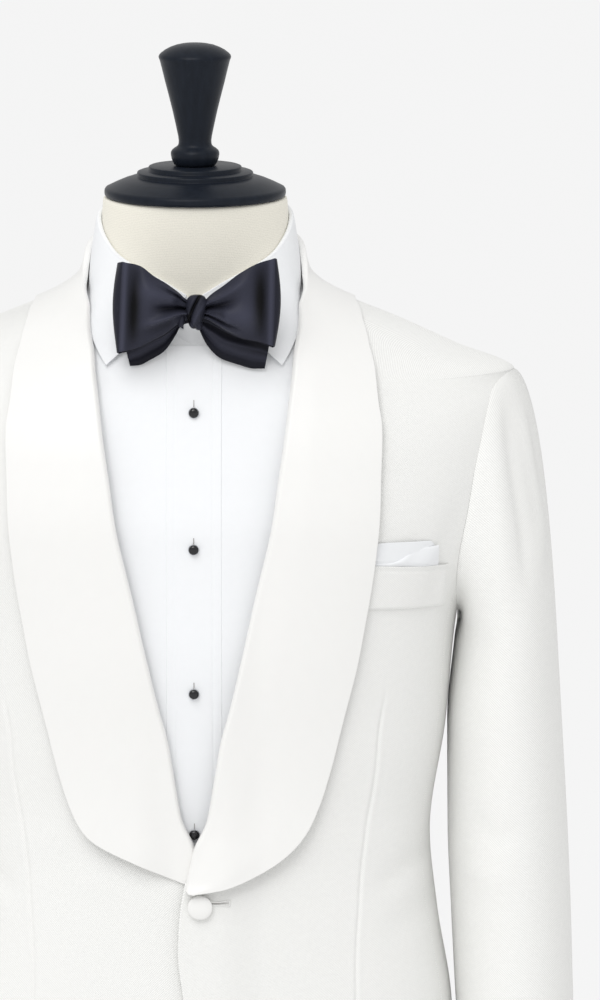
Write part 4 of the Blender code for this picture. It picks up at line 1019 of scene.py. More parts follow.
def shawl_facing(side):
    """The shawl: it turns in round the front's edge under its roll line, and over the collar stand above."""
    roll_angle, roll_height, edge_angle, edge_height = shawl_guides(200)
    station = np.linspace(0, len(SHAWL_FRONT) + len(SHAWL_NECK) - 1, 200)
    chest = ease((len(SHAWL_FRONT) - 1 - station) / 3.0)
    if side < 0:
        edge_height = edge_height + 0.0095 * bump(station - 1.9, 1.6)
    for angle, height, lift in ((roll_angle, roll_height, 0.0038), (edge_angle, edge_height, 0.0062)):
        push = JACKET.outward(angle, height) * (lift * chest)[:, None]
        x = JACKET.point(angle, height)[:, 0]
        front_side = chest > 0
        height[front_side] -= push[front_side, 2]
        angle[front_side] = JACKET.angle_of_x(x - push[:, 0], height)[front_side]
    last_gap = half_gap(roll_height[-1:])[0]
    ease_out = ease((np.linspace(0, 1, 200) - 0.97) / 0.03)
    roll_angle, edge_angle = roll_angle - last_gap * ease_out, edge_angle - last_gap * ease_out
    neck = ease((roll_height - 0.985) / 0.030)[:, None]
    roll_point, edge_point = JACKET.at(roll_angle, roll_height), JACKET.at(edge_angle, edge_height)
    width = np.linalg.norm(edge_point - roll_point, axis=1)[:, None]
    reach = 0.0034 * (1 - neck) + 0.0018 * neck          # of the roll, along the cloth
    tuck = np.minimum(0.0100 * (1 - neck) + 0.0060 * neck, 0.8 * width)
    below = -0.0044 * (1 - neck) - 0.0024 * neck
    turn = np.linspace(-90, 90, 13)[1:-1]
    inside = np.linspace(1, 0, 7)
    top = np.concatenate([np.linspace(0, 0.12, 8), np.linspace(0.12, 0.88, 28)[1:],
                          np.linspace(0.88, 1, 9)[1:]])
    columns = len(inside) + len(turn) + len(top)

    def surface(share):
        """Lift of the shawl's outer side at a share of its width."""
        angle = spread(roll_angle, edge_angle, share)
        height = spread(roll_height, edge_height, share)
        x = JACKET.point(angle, height)[..., 0]
        thick = SHAWL_CLOTH + (SHAWL_NECK_CLOTH - SHAWL_CLOTH) * ease((height - 0.985) / 0.030)
        return shawl_lift(share, height, x * side, side) + thick

    start = reach / width
    top_share = start + (1 - start) * top
    roll_top = surface(start)
    middle, half = (roll_top + below) / 2, (roll_top - below) / 2
    arc = np.radians(turn)
    share = np.concatenate([
        start + (tuck - reach) / width * inside, (reach - reach * np.cos(arc)) / width, top_share,
    ], axis=1)
    lift = np.concatenate([
        np.broadcast_to(below, (200, len(inside))), middle + half * np.sin(arc), surface(top_share),
    ], axis=1)
    angle, height = spread(roll_angle, edge_angle, share), spread(roll_height, edge_height, share)
    outer = jacket_at(angle, height, lift, side)
    thick = np.broadcast_to(0.0017 - 0.0008 * neck, (200, columns))
    thick = np.minimum(thick, 0.45 * 2 * half)
    along = walked(outer, 0) + 0.6
    across = walked(outer, 1)
    uv = np.stack([along, (across - across[:, len(inside) + len(turn):][:, :1])], axis=-1)
    made = cloth(f"shawl_{HAND[side]}", outer, thick, [finishes()["facing_satin"]], uv,
                 (0.0008, 0.0004, 0.0004, 0.0009), side)
    declare_sheet(made, [f"jacket_shawl_{HAND[side]}"])


def collar_stand():
    """The inner half of the folded collar, from the neck seam up into the fold."""
    round_back = np.linspace(82.0, 278.0, 120)
    mirrored = 180 - np.abs(180 - round_back)
    top = column(SHAWL_NECK, 1, mirrored) - 0.0030
    low = NECK_SEAM + 0.0006
    height = low + np.linspace(0, 1, 16)[:, None] * (top - low)
    outer = JACKET.at(round_back, height, -0.0004)
    made = cloth("collar_stand", outer, 0.0010, [finishes()["wool_twill"]], cloth_uv(outer), (0.0004,) * 4)
    declare_sheet(made, ["jacket_collar_stand"])


# ---------------------------------------------------------------- sleeves
def armhole_points():
    """y and height round the left armhole: front seam, shoulder tip, back seam, then under the arm."""
    front, back = armhole_rows(SIDE_SEAM_FRONT), armhole_rows(SIDE_SEAM_BACK)[::-1]
    under = np.linspace(SIDE_SEAM_BACK, SIDE_SEAM_FRONT, UNDER_STEPS + 1)[1:-1]
    y = np.concatenate([ARMHOLE_Y - armhole_reach(front), (ARMHOLE_Y + armhole_reach(back))[1:], under])
    height = np.concatenate([front, back[1:], armhole_height(under)])
    y[HOLE_STEPS], height[HOLE_STEPS] = RIDGE_Y, SHOULDER_TIP
    return y, height


def sleeve_ring(turn, height):
    """A point round the left sleeve: turn 0 is its outer side, 90 its front, 180 its inner side."""
    inner, outer, front, back = [column(SLEEVE_RINGS, k, height) for k in range(1, 5)]
    turn = np.radians(turn)
    return np.stack([
        (inner + outer) / 2 + (outer - inner) / 2 * np.cos(turn),
        (front + back) / 2 - (back - front) / 2 * np.sin(turn),
        height + 0 * turn,
    ], axis=-1)


def sleeve_surface():
    """Grid of the left sleeve's outer side, armhole first, and its outward normals."""
    y, height = armhole_points()
    start = JACKET.point(JACKET.angle_of_y(y, height), height) + (0.0001, 0, 0)
    count, tip, seat = len(y), HOLE_STEPS, int(np.argmin(height))
    step = np.linalg.norm(np.diff(start, axis=0, append=start[:1]), axis=1)
    along = np.concatenate([[0], np.cumsum(step)])
    girth, over = along[-1], along[seat] - along[tip]
    place = np.arange(count)
    turn = np.where(
        (place >= tip) & (place <= seat),
        -180 * (along[:-1] - along[tip]) / over,
        180 * ((along[tip] - along[:-1]) % girth) / (girth - over),
    )
    turn, start = np.append(turn, turn[0]), np.vstack([start, start[:1]])
    centre = np.array([0, ARMHOLE_Y, (SHOULDER_TIP + ARMPIT) / 2])
    radial = unit((start - centre) * (0, 1, 1))
    top_height = SLEEVE_RINGS[-1][0]
    end = sleeve_ring(turn, np.full(len(turn), top_height))
    below = sleeve_ring(turn, np.full(len(turn), top_height - 0.004))
    rise = ease((start[:, 2] - ARMPIT) / (SHOULDER_TIP - ARMPIT))
    drop = np.linalg.norm(end - start, axis=1)
    leave = np.stack([
        0.020 + 0.040 * rise,
        -0.012 * (1 - rise) * np.sign(ARMHOLE_Y - start[:, 1]) * np.abs(radial[:, 1]),
        -0.030 * rise,
    ], axis=1)
    arrive = (below - end) / 0.004 * 0.9 * drop[:, None]
    rows = []
    for t in np.linspace(0, 1, 64):
        rows.append(
            (2 * t**3 - 3 * t**2 + 1) * start + (t**3 - 2 * t**2 + t) * leave
            + (3 * t**2 - 2 * t**3) * end + (t**3 - t**2) * arrive
        )
    for ring_height in np.linspace(top_height, SLEEVE_RINGS[0][0], 96)[1:]:
        rows.append(sleeve_ring(turn, np.full(len(turn), ring_height)))
    outer = np.array(rows)
    outer = outer + sleeve_normals(outer, radial) * sleeve_drape(outer)[..., None]
    return outer, sleeve_normals(outer, radial)


def sleeve_normals(outer, radial):
    round_way = np.roll(outer[:, :-1], -1, axis=1) - np.roll(outer[:, :-1], 1, axis=1)
    round_way = np.concatenate([round_way, round_way[:, :1]], axis=1)
    normal = unit(np.cross(round_way, np.gradient(outer, axis=0)))
    outside = np.sign(np.sum(normal[-1] * (outer[-1] - outer[-1].mean(axis=0)), axis=-1))
    normal = normal * outside[None, :, None]
    normal[0] = radial
    normal[1:4] = unit(normal[1:4] + radial * np.array([1.0, 0.5, 0.2])[:, None, None])
    return normal


def sleeve_drape(outer):
    x, y, z = np.moveaxis(outer, -1, 0)
    total = np.zeros(x.shape)
    middle = (column(SLEEVE_RINGS, 3, z) + column(SLEEVE_RINGS, 4, z)) / 2
    for folds, towards in ((SLEEVE_FRONT_FOLDS, -1), (SLEEVE_BACK_FOLDS, 1)):
        facing = ease((y - middle) * towards / 0.02)
        for path, width, amount in folds:
            total = total + fold(x, z, path, width, amount) * facing
    away = ease(np.linspace(0, len(outer) / 6, len(outer)))[:, None]
    return total * away * bpy.context.scene.tuxedo_cloth.drape


def sleeve_pair(side, outer, normal):
    """The top sleeve runs over the shoulder from front pitch to back pitch, the under sleeve below."""
    count = outer.shape[1] - 1
    front_pitch, back_pitch = -UNDER_STEPS // 3, 2 * HOLE_STEPS - HOLE_STEPS // 7
    for part, first, last in (
        ("top", front_pitch, back_pitch), ("under", back_pitch, front_pitch + count),
    ):
        pick = np.arange(first, last + 1) % count
        grid, up = outer[:, pick].copy(), normal[:, pick]
        for edge, neighbour in ((0, 1), (-1, -2)):
            grid[:, edge] += unit(grid[:, neighbour] - grid[:, edge]) * PANEL_GAP / 2
        inner, outward, front, back = [column(SLEEVE_RINGS, k, grid[..., 2]) for k in range(1, 5)]
        round_arm = np.arctan2(grid[..., 0] - (inner + outward) / 2, (front + back) / 2 - grid[..., 1])
        unrolled = np.unwrap(np.unwrap(round_arm, axis=0), axis=1)
        uv = np.stack([-side * SLEEVE_RADIUS * unrolled, grid[..., 2]], axis=-1)
        made = cloth(f"{part}_sleeve_{HAND[side]}", grid, SLEEVE_CLOTH,
                     lined_twill(), uv,
                     (0.0007, 0.0009, SEAM_ROUND, SEAM_ROUND), side, up)
        declare_sheet(made, [f"jacket_{part}_sleeve_{HAND[side]}"])


# ---------------------------------------------------------------- breast pocket
def front_patch(x, height, lift):
    """A place on the left front from x and height."""
    x, height = np.broadcast_arrays(np.asarray(x, float), np.asarray(height, float))
    return jacket_at(JACKET.angle_of_x(x, height), height, lift, 1)


def breast_welt():
    """A narrow slanted band sewn on at its two ends and along its foot, its top edge free."""
    across, up = np.linspace(0, 1, 60)[None, :], np.linspace(0, 1, 26)[:, None]
    low_x = POCKET_INNER_X + across * POCKET_LENGTH
    top_x = POCKET_INNER_X + across * (POCKET_LENGTH + 0.0025)
    low_z, top_z = WELT_FOOT[0] + across * WELT_FOOT[1], WELT_TOP[0] + across * WELT_TOP[1]
    x, z = low_x * (1 - up) + top_x * up, low_z * (1 - up) + top_z * up
    sewn_edge = np.minimum(ease(up / 0.05), ease((1 - across) / 0.05) * ease(across / 0.05))
    lift = 0.0011 + 0.0012 * sewn_edge + 0.0004 * ease(up) * np.sin(math.pi * across)
    lift = lift - 0.0007 * bump(up - 0.93, 0.03)
    outer = front_patch(x, z, lift)
    made = cloth("breast_welt", outer, 0.0010, [finishes()["wool_twill"]], cloth_uv(outer), (0.0006,) * 4)
    declare_sheet(made, ["jacket_breast_welt"])


def pocket_square():
    """A folded square: a plain layer behind and a soft turned-over fold in front."""
    across, up = np.linspace(0, 1, 70)[None, :], np.linspace(0, 1, 30)[:, None]
    corner = 1 - ease((across - 0.86) / 0.14) ** 2
    top = 0.8440 - 0.0022 * across + 0.0008 * np.sin(math.pi * across) - 0.0080 * (1 - corner)
    inner_x = POCKET_INNER_X + 0.0050
    x = inner_x + across * (0.0508 - 0.0010 * up)
    z = SQUARE_FOOT + up * (top - SQUARE_FOOT)
    out_of_pocket = ease((z - WELT_TOP[0] - across * WELT_TOP[1]) / 0.005)
    wave = 0.0006 * np.sin(math.pi * across) + 0.0004 * np.sin(9 * across + 3 * up)
    outer = front_patch(x, z, 0.0008 + (0.0007 + wave) * out_of_pocket)
    made = cloth("pocket_square_back", outer, 0.0006, [finishes()["square_weave"]],
                 cloth_uv(outer), (0.0005,) * 4)
    declare_sheet(made, ["pocket_square"])
    rise = 0.36 + 0.44 * ease((across - 0.25) / 0.55)
    z = SQUARE_FOOT + up * (0.0212 * rise + 0.0015)
    x = inner_x + 0.0012 + across * 0.0480 + 0 * up
    puff = np.sin(math.pi * np.clip(up, 0.02, 1)) ** 0.5
    out_of_pocket = ease((z + 0.0008 - WELT_TOP[0] - across * WELT_TOP[1]) / 0.005)
    wave = 0.0014 * puff * (0.5 + 0.5 * np.sin(math.pi * across)) + 0.0004 * np.sin(12 * across - 4 * up)
    outer = front_patch(x, z, 0.0012 + (0.0010 + wave) * out_of_pocket)
    made = cloth("pocket_square_fold", outer, 0.0007, [finishes()["square_weave"]],
                 cloth_uv(outer), (0.0006,) * 4)
    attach(made, "root")


# ---------------------------------------------------------------- turned and sewn hard pieces
def one_vertex(name, place):
    """A new object in edit mode that holds a single vertex, ready to be extruded into an outline."""
    bpy.ops.object.select_all(action="DESELECT")
    bpy.ops.mesh.primitive_plane_add(size=0.01, location=(0, 0, 0))
    made = bpy.context.object
    made.name = made.data.name = name
    bpy.ops.object.mode_set(mode="EDIT")
    bpy.ops.mesh.select_all(action="SELECT")
    bpy.ops.mesh.merge(type="CENTER")
    bpy.ops.transform.translate(value=place)
    return made


def turned(name, outline, finish, place=(0, 0, 0), axis=(0, 0, 1), steps=96, crease=32):
    """Extrudes an outline of radius and height vertex by vertex, then spins it round its axis."""
    axis, place = Vector(axis), Vector(place)
    spots = [place + Vector((1, 0, 0)) * radius + axis * height for radius, height in outline]
    made = one_vertex(name, spots[0])
    for spot, following in zip(spots, spots[1:]):
        bpy.ops.mesh.extrude_vertices_move(TRANSFORM_OT_translate={"value": following - spot})
    bpy.ops.mesh.select_all(action="SELECT")
    bpy.ops.mesh.spin(steps=steps, angle=2 * math.pi, center=place, axis=axis)
    bpy.ops.mesh.select_all(action="SELECT")
    bpy.ops.mesh.remove_doubles(threshold=1e-6)
    bpy.ops.mesh.normals_make_consistent(inside=False)
    bpy.ops.object.mode_set(mode="OBJECT")
    bpy.ops.object.shade_smooth_by_angle(angle=math.radians(crease))
    made.data.materials.append(finish)
    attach(made, "root")
    return made


def dome(radius, height, foot, count=12):
    """Outline of a shallow dome on a short straight foot."""
    rows = [(0.0, 0.0), (radius * 0.94, 0.0), (radius * 0.985, foot * 0.25), (radius, foot * 0.6)]
    rows += [
        (radius * math.cos(t), foot + height * math.sin(t))
        for t in np.linspace(0.0, math.pi / 2, count)[:-1]
    ]
    return rows + [(0.0, foot + height)]


def thread_tube(name, path, radius, finish, closed=True, sides=10):
    """A round thread along a path of points."""
    path = np.asarray(path, float)
    ahead = np.roll(path, -1, axis=0) - np.roll(path, 1, axis=0) if closed else np.gradient(path, axis=0)
    ahead = unit(ahead)
    out = unit(np.cross(ahead, np.array([0.0, 1.0, 0.0])))
    up = np.cross(ahead, out)
    turn = np.linspace(0, 2 * math.pi, sides, endpoint=False)
    ring = out[:, None] * np.cos(turn)[None, :, None] + up[:, None] * np.sin(turn)[None, :, None]
    points = (path[:, None] + ring * radius).reshape(-1, 3)
    count, faces = len(path), []
    for i in range(count if closed else count - 1):
        for k in range(sides):
            a, b = i * sides + k, i * sides + (k + 1) % sides
            c, d = ((i + 1) % count) * sides + (k + 1) % sides, ((i + 1) % count) * sides + k
            faces.append((a, b, c, d))
    if not closed:
        faces += [tuple(range(sides)), tuple((count - 1) * sides + k for k in range(sides))]
    made = finish_mesh(name, points, faces, [finish])
    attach(made, "root")
    return made


def front_buttonhole():
    """A worked keyhole buttonhole: a raised round of thread, with a thin dark sheet inside it that paints the
    slit's shadow.
    """
    x0, height = BUTTON_PLACE[0], BUTTONHOLE_HEIGHT
    turn = np.linspace(0, 2 * math.pi, 90, endpoint=False)
    half = 0.0105
    x = x0 + 0.0102 + half * np.clip(np.cos(turn) * 1.5, -1, 1)
    eyelet = ease((x - x0 - 0.0150) / 0.004)
    z = height + (0.0011 + 0.0008 * eyelet) * np.clip(np.sin(turn) * 2.6, -1, 1)
    made = thread_tube("buttonhole_thread", front_patch(x, z, 0.0004), 0.00055, finishes()["white_thread"])
    # the slit: a thin grey sheet of painted shadow
    across, up = np.linspace(-1, 1, 40)[None, :], np.linspace(-1, 1, 5)[:, None]
    x = x0 + 0.0102 + across * 0.0098 + 0 * up
    z = height + 0.0002 + up * (0.00012 + 0.00045 * ease((x0 + 0.0200 - x) / 0.010))
    outer = front_patch(x, z, 0.00030)
    made = cloth("buttonhole_slit_shadow", outer, 0.0003, [finishes()["slit_shadow"]], None, (0.0001,) * 4)
    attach(made, "root")


def covered_button():
    x, height = BUTTON_PLACE
    place = JACKET.at(JACKET.angle_of_x(x, height), height, LAP_LIFT + 0.0012)
    made = turned("covered_button", dome(BUTTON_RADIUS - 0.0002, 0.0021, 0.0024, 14),
                  finishes()["facing_satin"], tuple(place), (0, -1, 0), 64, 60)
    layer = made.data.uv_layers.new(name="cloth")
    for loop in made.data.loops:
        spot = made.data.vertices[loop.vertex_index].co
        layer.uv[loop.index].vector = (spot.x, spot.z)
    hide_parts("jacket_button")


# ---------------------------------------------------------------- shirt
def band_top(angle):
    return column(BAND_TOP, 1, 180 - np.abs(180 - np.abs(angle) % 360))


def shirt_forward(angle, height):
    """The shirt front stands a little off the form where the jacket is buttoned over it."""
    return 0.0038 * ease((0.84 - height) / 0.16) * bump(angle, 24.0)


def shirt_panel(part, side, first, last, lift):
    """A shirt panel from the tail up to the collar band, between two angles."""
    angle = np.linspace(first, last, 56)
    top = band_top(angle) - BAND_HEIGHT - 0.0002
    up = np.concatenate([np.linspace(0, 0.86, 90), np.linspace(0.86, 1, 26)[1:]])[:, None]
    height = SHIRT_HEM + up * (top - SHIRT_HEM)
    soft = 0.0005 * np.sin(np.radians(angle) * 7 + height * 9) * ease((0.98 - height) / 0.1)
    outer = FORM.at(angle, height, lift + 0.0010 + soft + shirt_forward(angle, height))
    made = cloth(f"shirt_{part}_panel_{HAND[side]}", outer, SHIRT_CLOTH, [finishes()["shirt_weave"]],
                 cloth_uv(outer) * (side, 1), (0.0004, 0.0002, 0.0001, 0.0001), side)
    declare_sheet(made, [f"shirt_{part}_{HAND[side]}"])


def shirt_placket():
    """The strip down the front that carries the studs, with a row of stitching near each edge."""
    rows = np.linspace(SHIRT_HEM + 0.002, band_top(0.0) - BAND_HEIGHT - 0.0008, 170)
    edge = FORM.angle_of_x(np.full(len(rows), PLACKET_HALF), rows)
    share = np.linspace(-1, 1, 61)
    angle = edge[:, None] * share
    off = (1 - np.abs(share)) * PLACKET_HALF
    rows = np.broadcast_to(rows[:, None], angle.shape)
    lift = PLACKET_LIFT - 0.0002 * bump(off - 0.0055, 0.0007) + shirt_forward(angle, rows)
    outer = FORM.at(angle, rows, lift)
    made = cloth("placket", outer, 0.0012, [finishes()["shirt_weave"]], cloth_uv(outer), (0.0005,) * 4)
    declare_sheet(made, ["shirt_placket"])


def collar_band():
    """The upright band round the neck, its left end lapped over its right at the front."""
    angle = np.linspace(4.0, 365.5, 260)
    lap = 0.0011 * ease((angle - 350) / 9)
    height = band_top(angle) - BAND_HEIGHT * (1 - np.linspace(0, 1, 22)[:, None])
    outer = FORM.at(angle, height, 0.0016 + lap + 0 * height)
    made = cloth("neck_band", outer, 0.0007, [finishes()["shirt_weave"]], cloth_uv(outer), (0.0005,) * 4)
    declare_sheet(made, ["shirt_collar_band"])


def collar_leaf():
    """The turned-down leaf: up inside the band, round the fold and down to its points."""
    half = np.linspace(0, 1, 110)
    fold_angle, low_angle, low_height, low_lift = [column(COLLAR_LEAF, k, half) for k in range(1, 5)]
    top_height = band_top(fold_angle)
    top_normal, low_normal = FORM.outward(fold_angle, top_height), FORM.outward(low_angle, low_height)
    inside_lift, outside_lift = 0.0002, 0.0038
    top_point = FORM.at(fold_angle, top_height, outside_lift)
    low_point = FORM.at(low_angle, low_height, low_lift + 0.0008)
    rows = []
    for down in np.linspace(0.004, 0.0004, 5):
        rows.append(FORM.at(fold_angle, top_height - down, inside_lift))
    middle, depth = (inside_lift + outside_lift) / 2, (outside_lift - inside_lift) / 2
    for turn in np.radians(np.linspace(180, 0, 13)):
        crown = FORM.at(fold_angle, top_height, middle + depth * math.cos(turn))
        rows.append(crown + np.array([0, 0, 0.0016 * math.sin(turn)]))
    belly = 0.0006 + 0.0018 * np.clip(np.cos(np.radians(low_angle)), 0, 1)[:, None] ** 2
    for t in np.linspace(0, 1, 42)[1:]:
        normal = unit(top_normal * (1 - t) + low_normal * t)
        rows.append(top_point * (1 - t) + low_point * t + normal * belly * math.sin(math.pi * t) ** 0.7)
    grid = np.array(rows)[::-1]
    mirror = np.array([-1, 1, 1])
    grid = np.concatenate([grid, (grid * mirror)[:, -2::-1]], axis=1)
    normal = grid_normals(grid)
    edge = np.minimum(walked(grid, 0), np.minimum(walked(grid, 1), walked(grid[:, ::-1], 1)[:, ::-1]))
    stitch = -0.00025 * bump(edge - 0.0055, 0.0005)
    grid = grid + normal * stitch[..., None]
    made = cloth("shirt_leaf", grid, 0.0008, [finishes()["shirt_weave"]], cloth_uv(grid),
                 (0.0005, 0.0002, 0.0005, 0.0005))
    declare_sheet(made, ["shirt_collar_leaf"])


def shirt_studs():
    for number, height in enumerate(STUD_HEIGHTS, 1):
        place = FORM.at(0.0, height, STUD_LIFT + shirt_forward(0.0, height))
        face = dome(0.00335, 0.0017, 0.0012, 12)
        face = [(radius, level + 0.0012) for radius, level in face]
        made = turned(f"stud_face_{number}", face, finishes()["stud_face"], tuple(place), (0, -1, 0), 48, 50)
        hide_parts(f"shirt_stud_{number}")
        rim = [(0.0, 0.0), (0.0030, 0.0), (0.0037, 0.0005), (STUD_RADIUS, 0.0013), (0.0038, 0.0020),
               (0.0035, 0.0023), (0.0033, 0.0021), (0.0032, 0.0016), (0.0, 0.0014)]
        made = turned(f"stud_rim_{number}", rim, finishes()["stud_rim"], tuple(place), (0, -1, 0), 48, 50)
        # above each stud, a thin grey sheet of painted shadow in its buttonhole slit
        across, up = np.linspace(-1, 1, 5)[None, :], np.linspace(0, 1, 30)[:, None]
        z = height + 0.0030 + up * 0.0050 + 0 * across
        angle = np.degrees(np.arctan2(across * 0.00025, 0.11)) + 0 * up
        outer = FORM.at(angle, z, STUD_LIFT + shirt_forward(angle, z))
        made = cloth(f"stud_slit_shadow_{number}", outer, 0.0002, [finishes()["slit_shadow"]], None, (0.00008,) * 4)
        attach(made, "root")


# ---------------------------------------------------------------- bow tie
# distance out from the knot's middle, y of the front layer, y of the back layer
WING_DEPTH = (
    (0.0000, -0.0945, -0.0925), (0.0088, -0.0970, -0.0910), (0.0185, -0.1015, -0.0890),
    (0.0320, -0.1030, -0.0870), (0.0455, -0.1000, -0.0855), (0.0545, -0.0955, -0.0855),
    (0.0600, -0.0930, -0.0865),
)


def bow_wing(side):
    """One ribbon: out along the front layer, round the outer fold and back along the rear layer."""
    table, folds = (WING_LEFT, WING_FOLDS_LEFT) if side > 0 else (WING_RIGHT, WING_FOLDS_RIGHT)
    up = np.linspace(0, 1, 72)[:, None]

    def layer(share, layer_column):
        top_x, top_z, low_x, low_z = [column(table, k, share) for k in range(1, 5)]
        x = low_x * (1 - up) + top_x * up
        z = low_z * (1 - up) + top_z * up
        return np.stack([x, column(WING_DEPTH, layer_column, x), z], axis=-1)

    share = np.linspace(0, 1, 64)
    front = layer(share, 1)
    out = share[None, :]
    puff = 0
    for s0, s1, h0, h1, width, height in folds:
        line = h0 + (h1 - h0) * np.clip((out - s0) / (s1 - s0), 0, 1)
        start = ease((out - s0) / 0.12) if s0 > 0 else 1.0
        puff = puff + height * bump(up - line, width) * start * ease((s1 - out) / 0.35)
    edges = (2 * up - 1) ** 2
    # Painted light on the satin: painted highlights on the fold ridges, along the roll line by the outer fold
    # and across the middle, painted shade in the fold valleys and in a dark band near the outer end.
    painted_fold_light = 0.42 + 0.20 * puff / 0.0026 - 0.42 * bump(out - 0.83, 0.08) * (1 - edges)
    painted_fold_light = painted_fold_light + 0.34 * bump(out - 0.965, 0.035)
    painted_fold_light = painted_fold_light + 0.10 * bump(out - 0.62, 0.16) * (1 - edges)
    puff = puff * 1.35 + 0.0030 * (1 - edges) * ease(out / 0.45) * ease((0.98 - out) / 0.25)
    puff = puff - 0.0016 * edges**3
    puff = puff - 0.0024 * bump(out - 0.85, 0.06) * (0.25 + 0.75 * (1 - edges))
    puff = puff + 0.0010 * bump(out - 0.97, 0.05)
    front[..., 1] -= puff
    back = layer(np.linspace(1, 0, 34), 2)
    back[..., 2] -= 0.0024
    back[..., 0] += 0.0034 * ease(up) * (side < 0) * ease((back[..., 0] - 0.030) / 0.020)
    first, last = front[:, -1], back[:, 0]
    bulge = (0.0016 + 0.0034 * np.sin(math.pi * up)) * np.array([1.0, 0, 0])
    arc = [
        (first + last) / 2 + (first - last) / 2 * math.cos(t) + bulge * math.sin(t)
        for t in np.linspace(0, math.pi, 14)[1:-1]
    ]
    grid = np.concatenate([front, np.stack(arc, axis=1), back], axis=1)
    grid = grid + (side * KNOT[0], 0, KNOT[2])
    # the outer fold and the rear layer get one even painted value, darker than the front's middle
    painted_fold_light = np.concatenate([painted_fold_light, np.full((len(up), grid.shape[1] - painted_fold_light.shape[1]), 0.3)], axis=1)
    made = cloth(f"bow_loop_{HAND[side]}", grid, RIBBON_CLOTH,
                 [finishes()["tie_satin"]], cloth_uv(grid)[..., ::-1],
                 (0.0005,) * 4, side, painted_fold_light=painted_fold_light)
    declare_sheet(made, [f"bow_wing_{HAND[side]}"])


def bow_tail(side):
    """A flat end that hangs behind its wing and shows below it."""
    table = END_LEFT if side > 0 else END_RIGHT
    up, share = np.linspace(0, 1, 40)[:, None], np.linspace(0, 1, 60)
    top_x, top_z, low_x, low_z = [column(table, k, share) for k in range(1, 5)]
    x = low_x * (1 - up) + top_x * up
    z = low_z * (1 - up) + top_z * up
    out = share[None, :]
    y = -0.0850 + 0.0045 * out - 0.0010 * np.sin(math.pi * up)
    y = y - 0.0016 * bump(up - 0.42 - 0.1 * out, 0.10) * ease((1 - out) / 0.4) + 0.0016 * bump(up - 0.2, 0.08)
    grid = np.stack([x + side * KNOT[0], y, z + KNOT[2]], axis=-1)
    # Painted light on the hanging end: a painted highlight band across its upper part and a thin painted
    # highlight along its crease, painted shade elsewhere.
    painted_fold_light = 0.18 + 0.30 * bump(up - 0.30, 0.16) + 0.20 * bump(up - 0.42 - 0.1 * out, 0.04) + 0 * out
    made = cloth(f"bow_tail_{HAND[side]}", grid, RIBBON_CLOTH,
                 [finishes()["tie_satin"]], cloth_uv(grid)[..., ::-1],
                 (0.0005,) * 4, side, painted_fold_light=painted_fold_light)
    declare_sheet(made, [f"bow_end_{HAND[side]}"])


def rounded_wrap(name, centre, half, taper, pinch, lean, creases):
    """A closed puffed wrap: a sphere drawn narrower towards its foot, with soft diagonal creases."""
    turns, rows = 72, 48
    polar = np.linspace(0, math.pi, rows)[1:-1, None]
    turn = np.linspace(0, 2 * math.pi, turns, endpoint=False)[None, :]
    z = np.cos(polar) + 0 * turn
    ring = np.sin(polar) ** 0.62
    x, y = ring * np.sin(turn), -ring * np.cos(turn)
    wide = 1 - taper * (1 - z) / 2 - pinch * bump(z, 0.5)
    swell = 1 + sum(
        amount * bump(x * math.cos(slope) + z * math.sin(slope) - shift, width)
        for slope, shift, width, amount in creases
    ) * (y < 0.2)
    points = np.stack([
        (x * wide + lean * z) * half[0], y * swell * half[1], z * half[2],
    ], axis=-1).reshape(-1, 3)
    points = np.concatenate([points, [(lean * half[0], 0, half[2]), (-lean * half[0], 0, -half[2])]]) + centre
    uv = points[:, [2, 0]]
    made = finish_mesh(name, points, ringed_faces(rows - 2, turns), [finishes()["tie_satin"]], uv)
    # Painted light on the wrap: painted highlights where the creases swell, painted shade where they sink and
    # towards both sides.
    painted_light_values = np.append((0.40 + 1.0 * (swell - 1) - 0.12 * x**2 + 0 * z).reshape(-1), [0.3, 0.3])
    set_painted_fold_light(made, painted_light_values)
    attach(made, "root")
    return made


def bow_knot():
    creases = (
        (-0.55, -0.30, 0.13, -0.26), (-0.75, 0.28, 0.20, 0.16), (2.50, 0.42, 0.12, -0.22),
        (0.9, -0.72, 0.14, -0.16),
    )
    made = rounded_wrap("bow_knot_wrap", KNOT + (0.0002, 0, 0.0012), (0.0092, 0.0074, 0.0120),
                        0.48, 0.02, 0.10, creases)
    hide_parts("bow_knot")
    rounded_wrap("bow_tuck_right", KNOT + (-0.0098, 0.0020, -0.0052), (0.0030, 0.0042, 0.0050),
                 0.2, 0.0, 0.2, ())
    rounded_wrap("bow_tuck_left", KNOT + (0.0018, 0.0005, -0.0078), (0.0040, 0.0050, 0.0042),
                 0.3, 0.0, -0.2, ())


def neck_strip():
    angle = np.linspace(6.0, 354.0, 180)
    height = band_top(angle) - 0.015 + np.linspace(-0.008, 0.008, 9)[:, None]
    outer = FORM.at(angle, height, 0.0030)
    made = cloth("bow_neck_ribbon", outer, 0.0005, [finishes()["tie_satin"]], cloth_uv(outer), (0.0003,) * 4)
    declare_sheet(made, ["bow_neck_strip"])


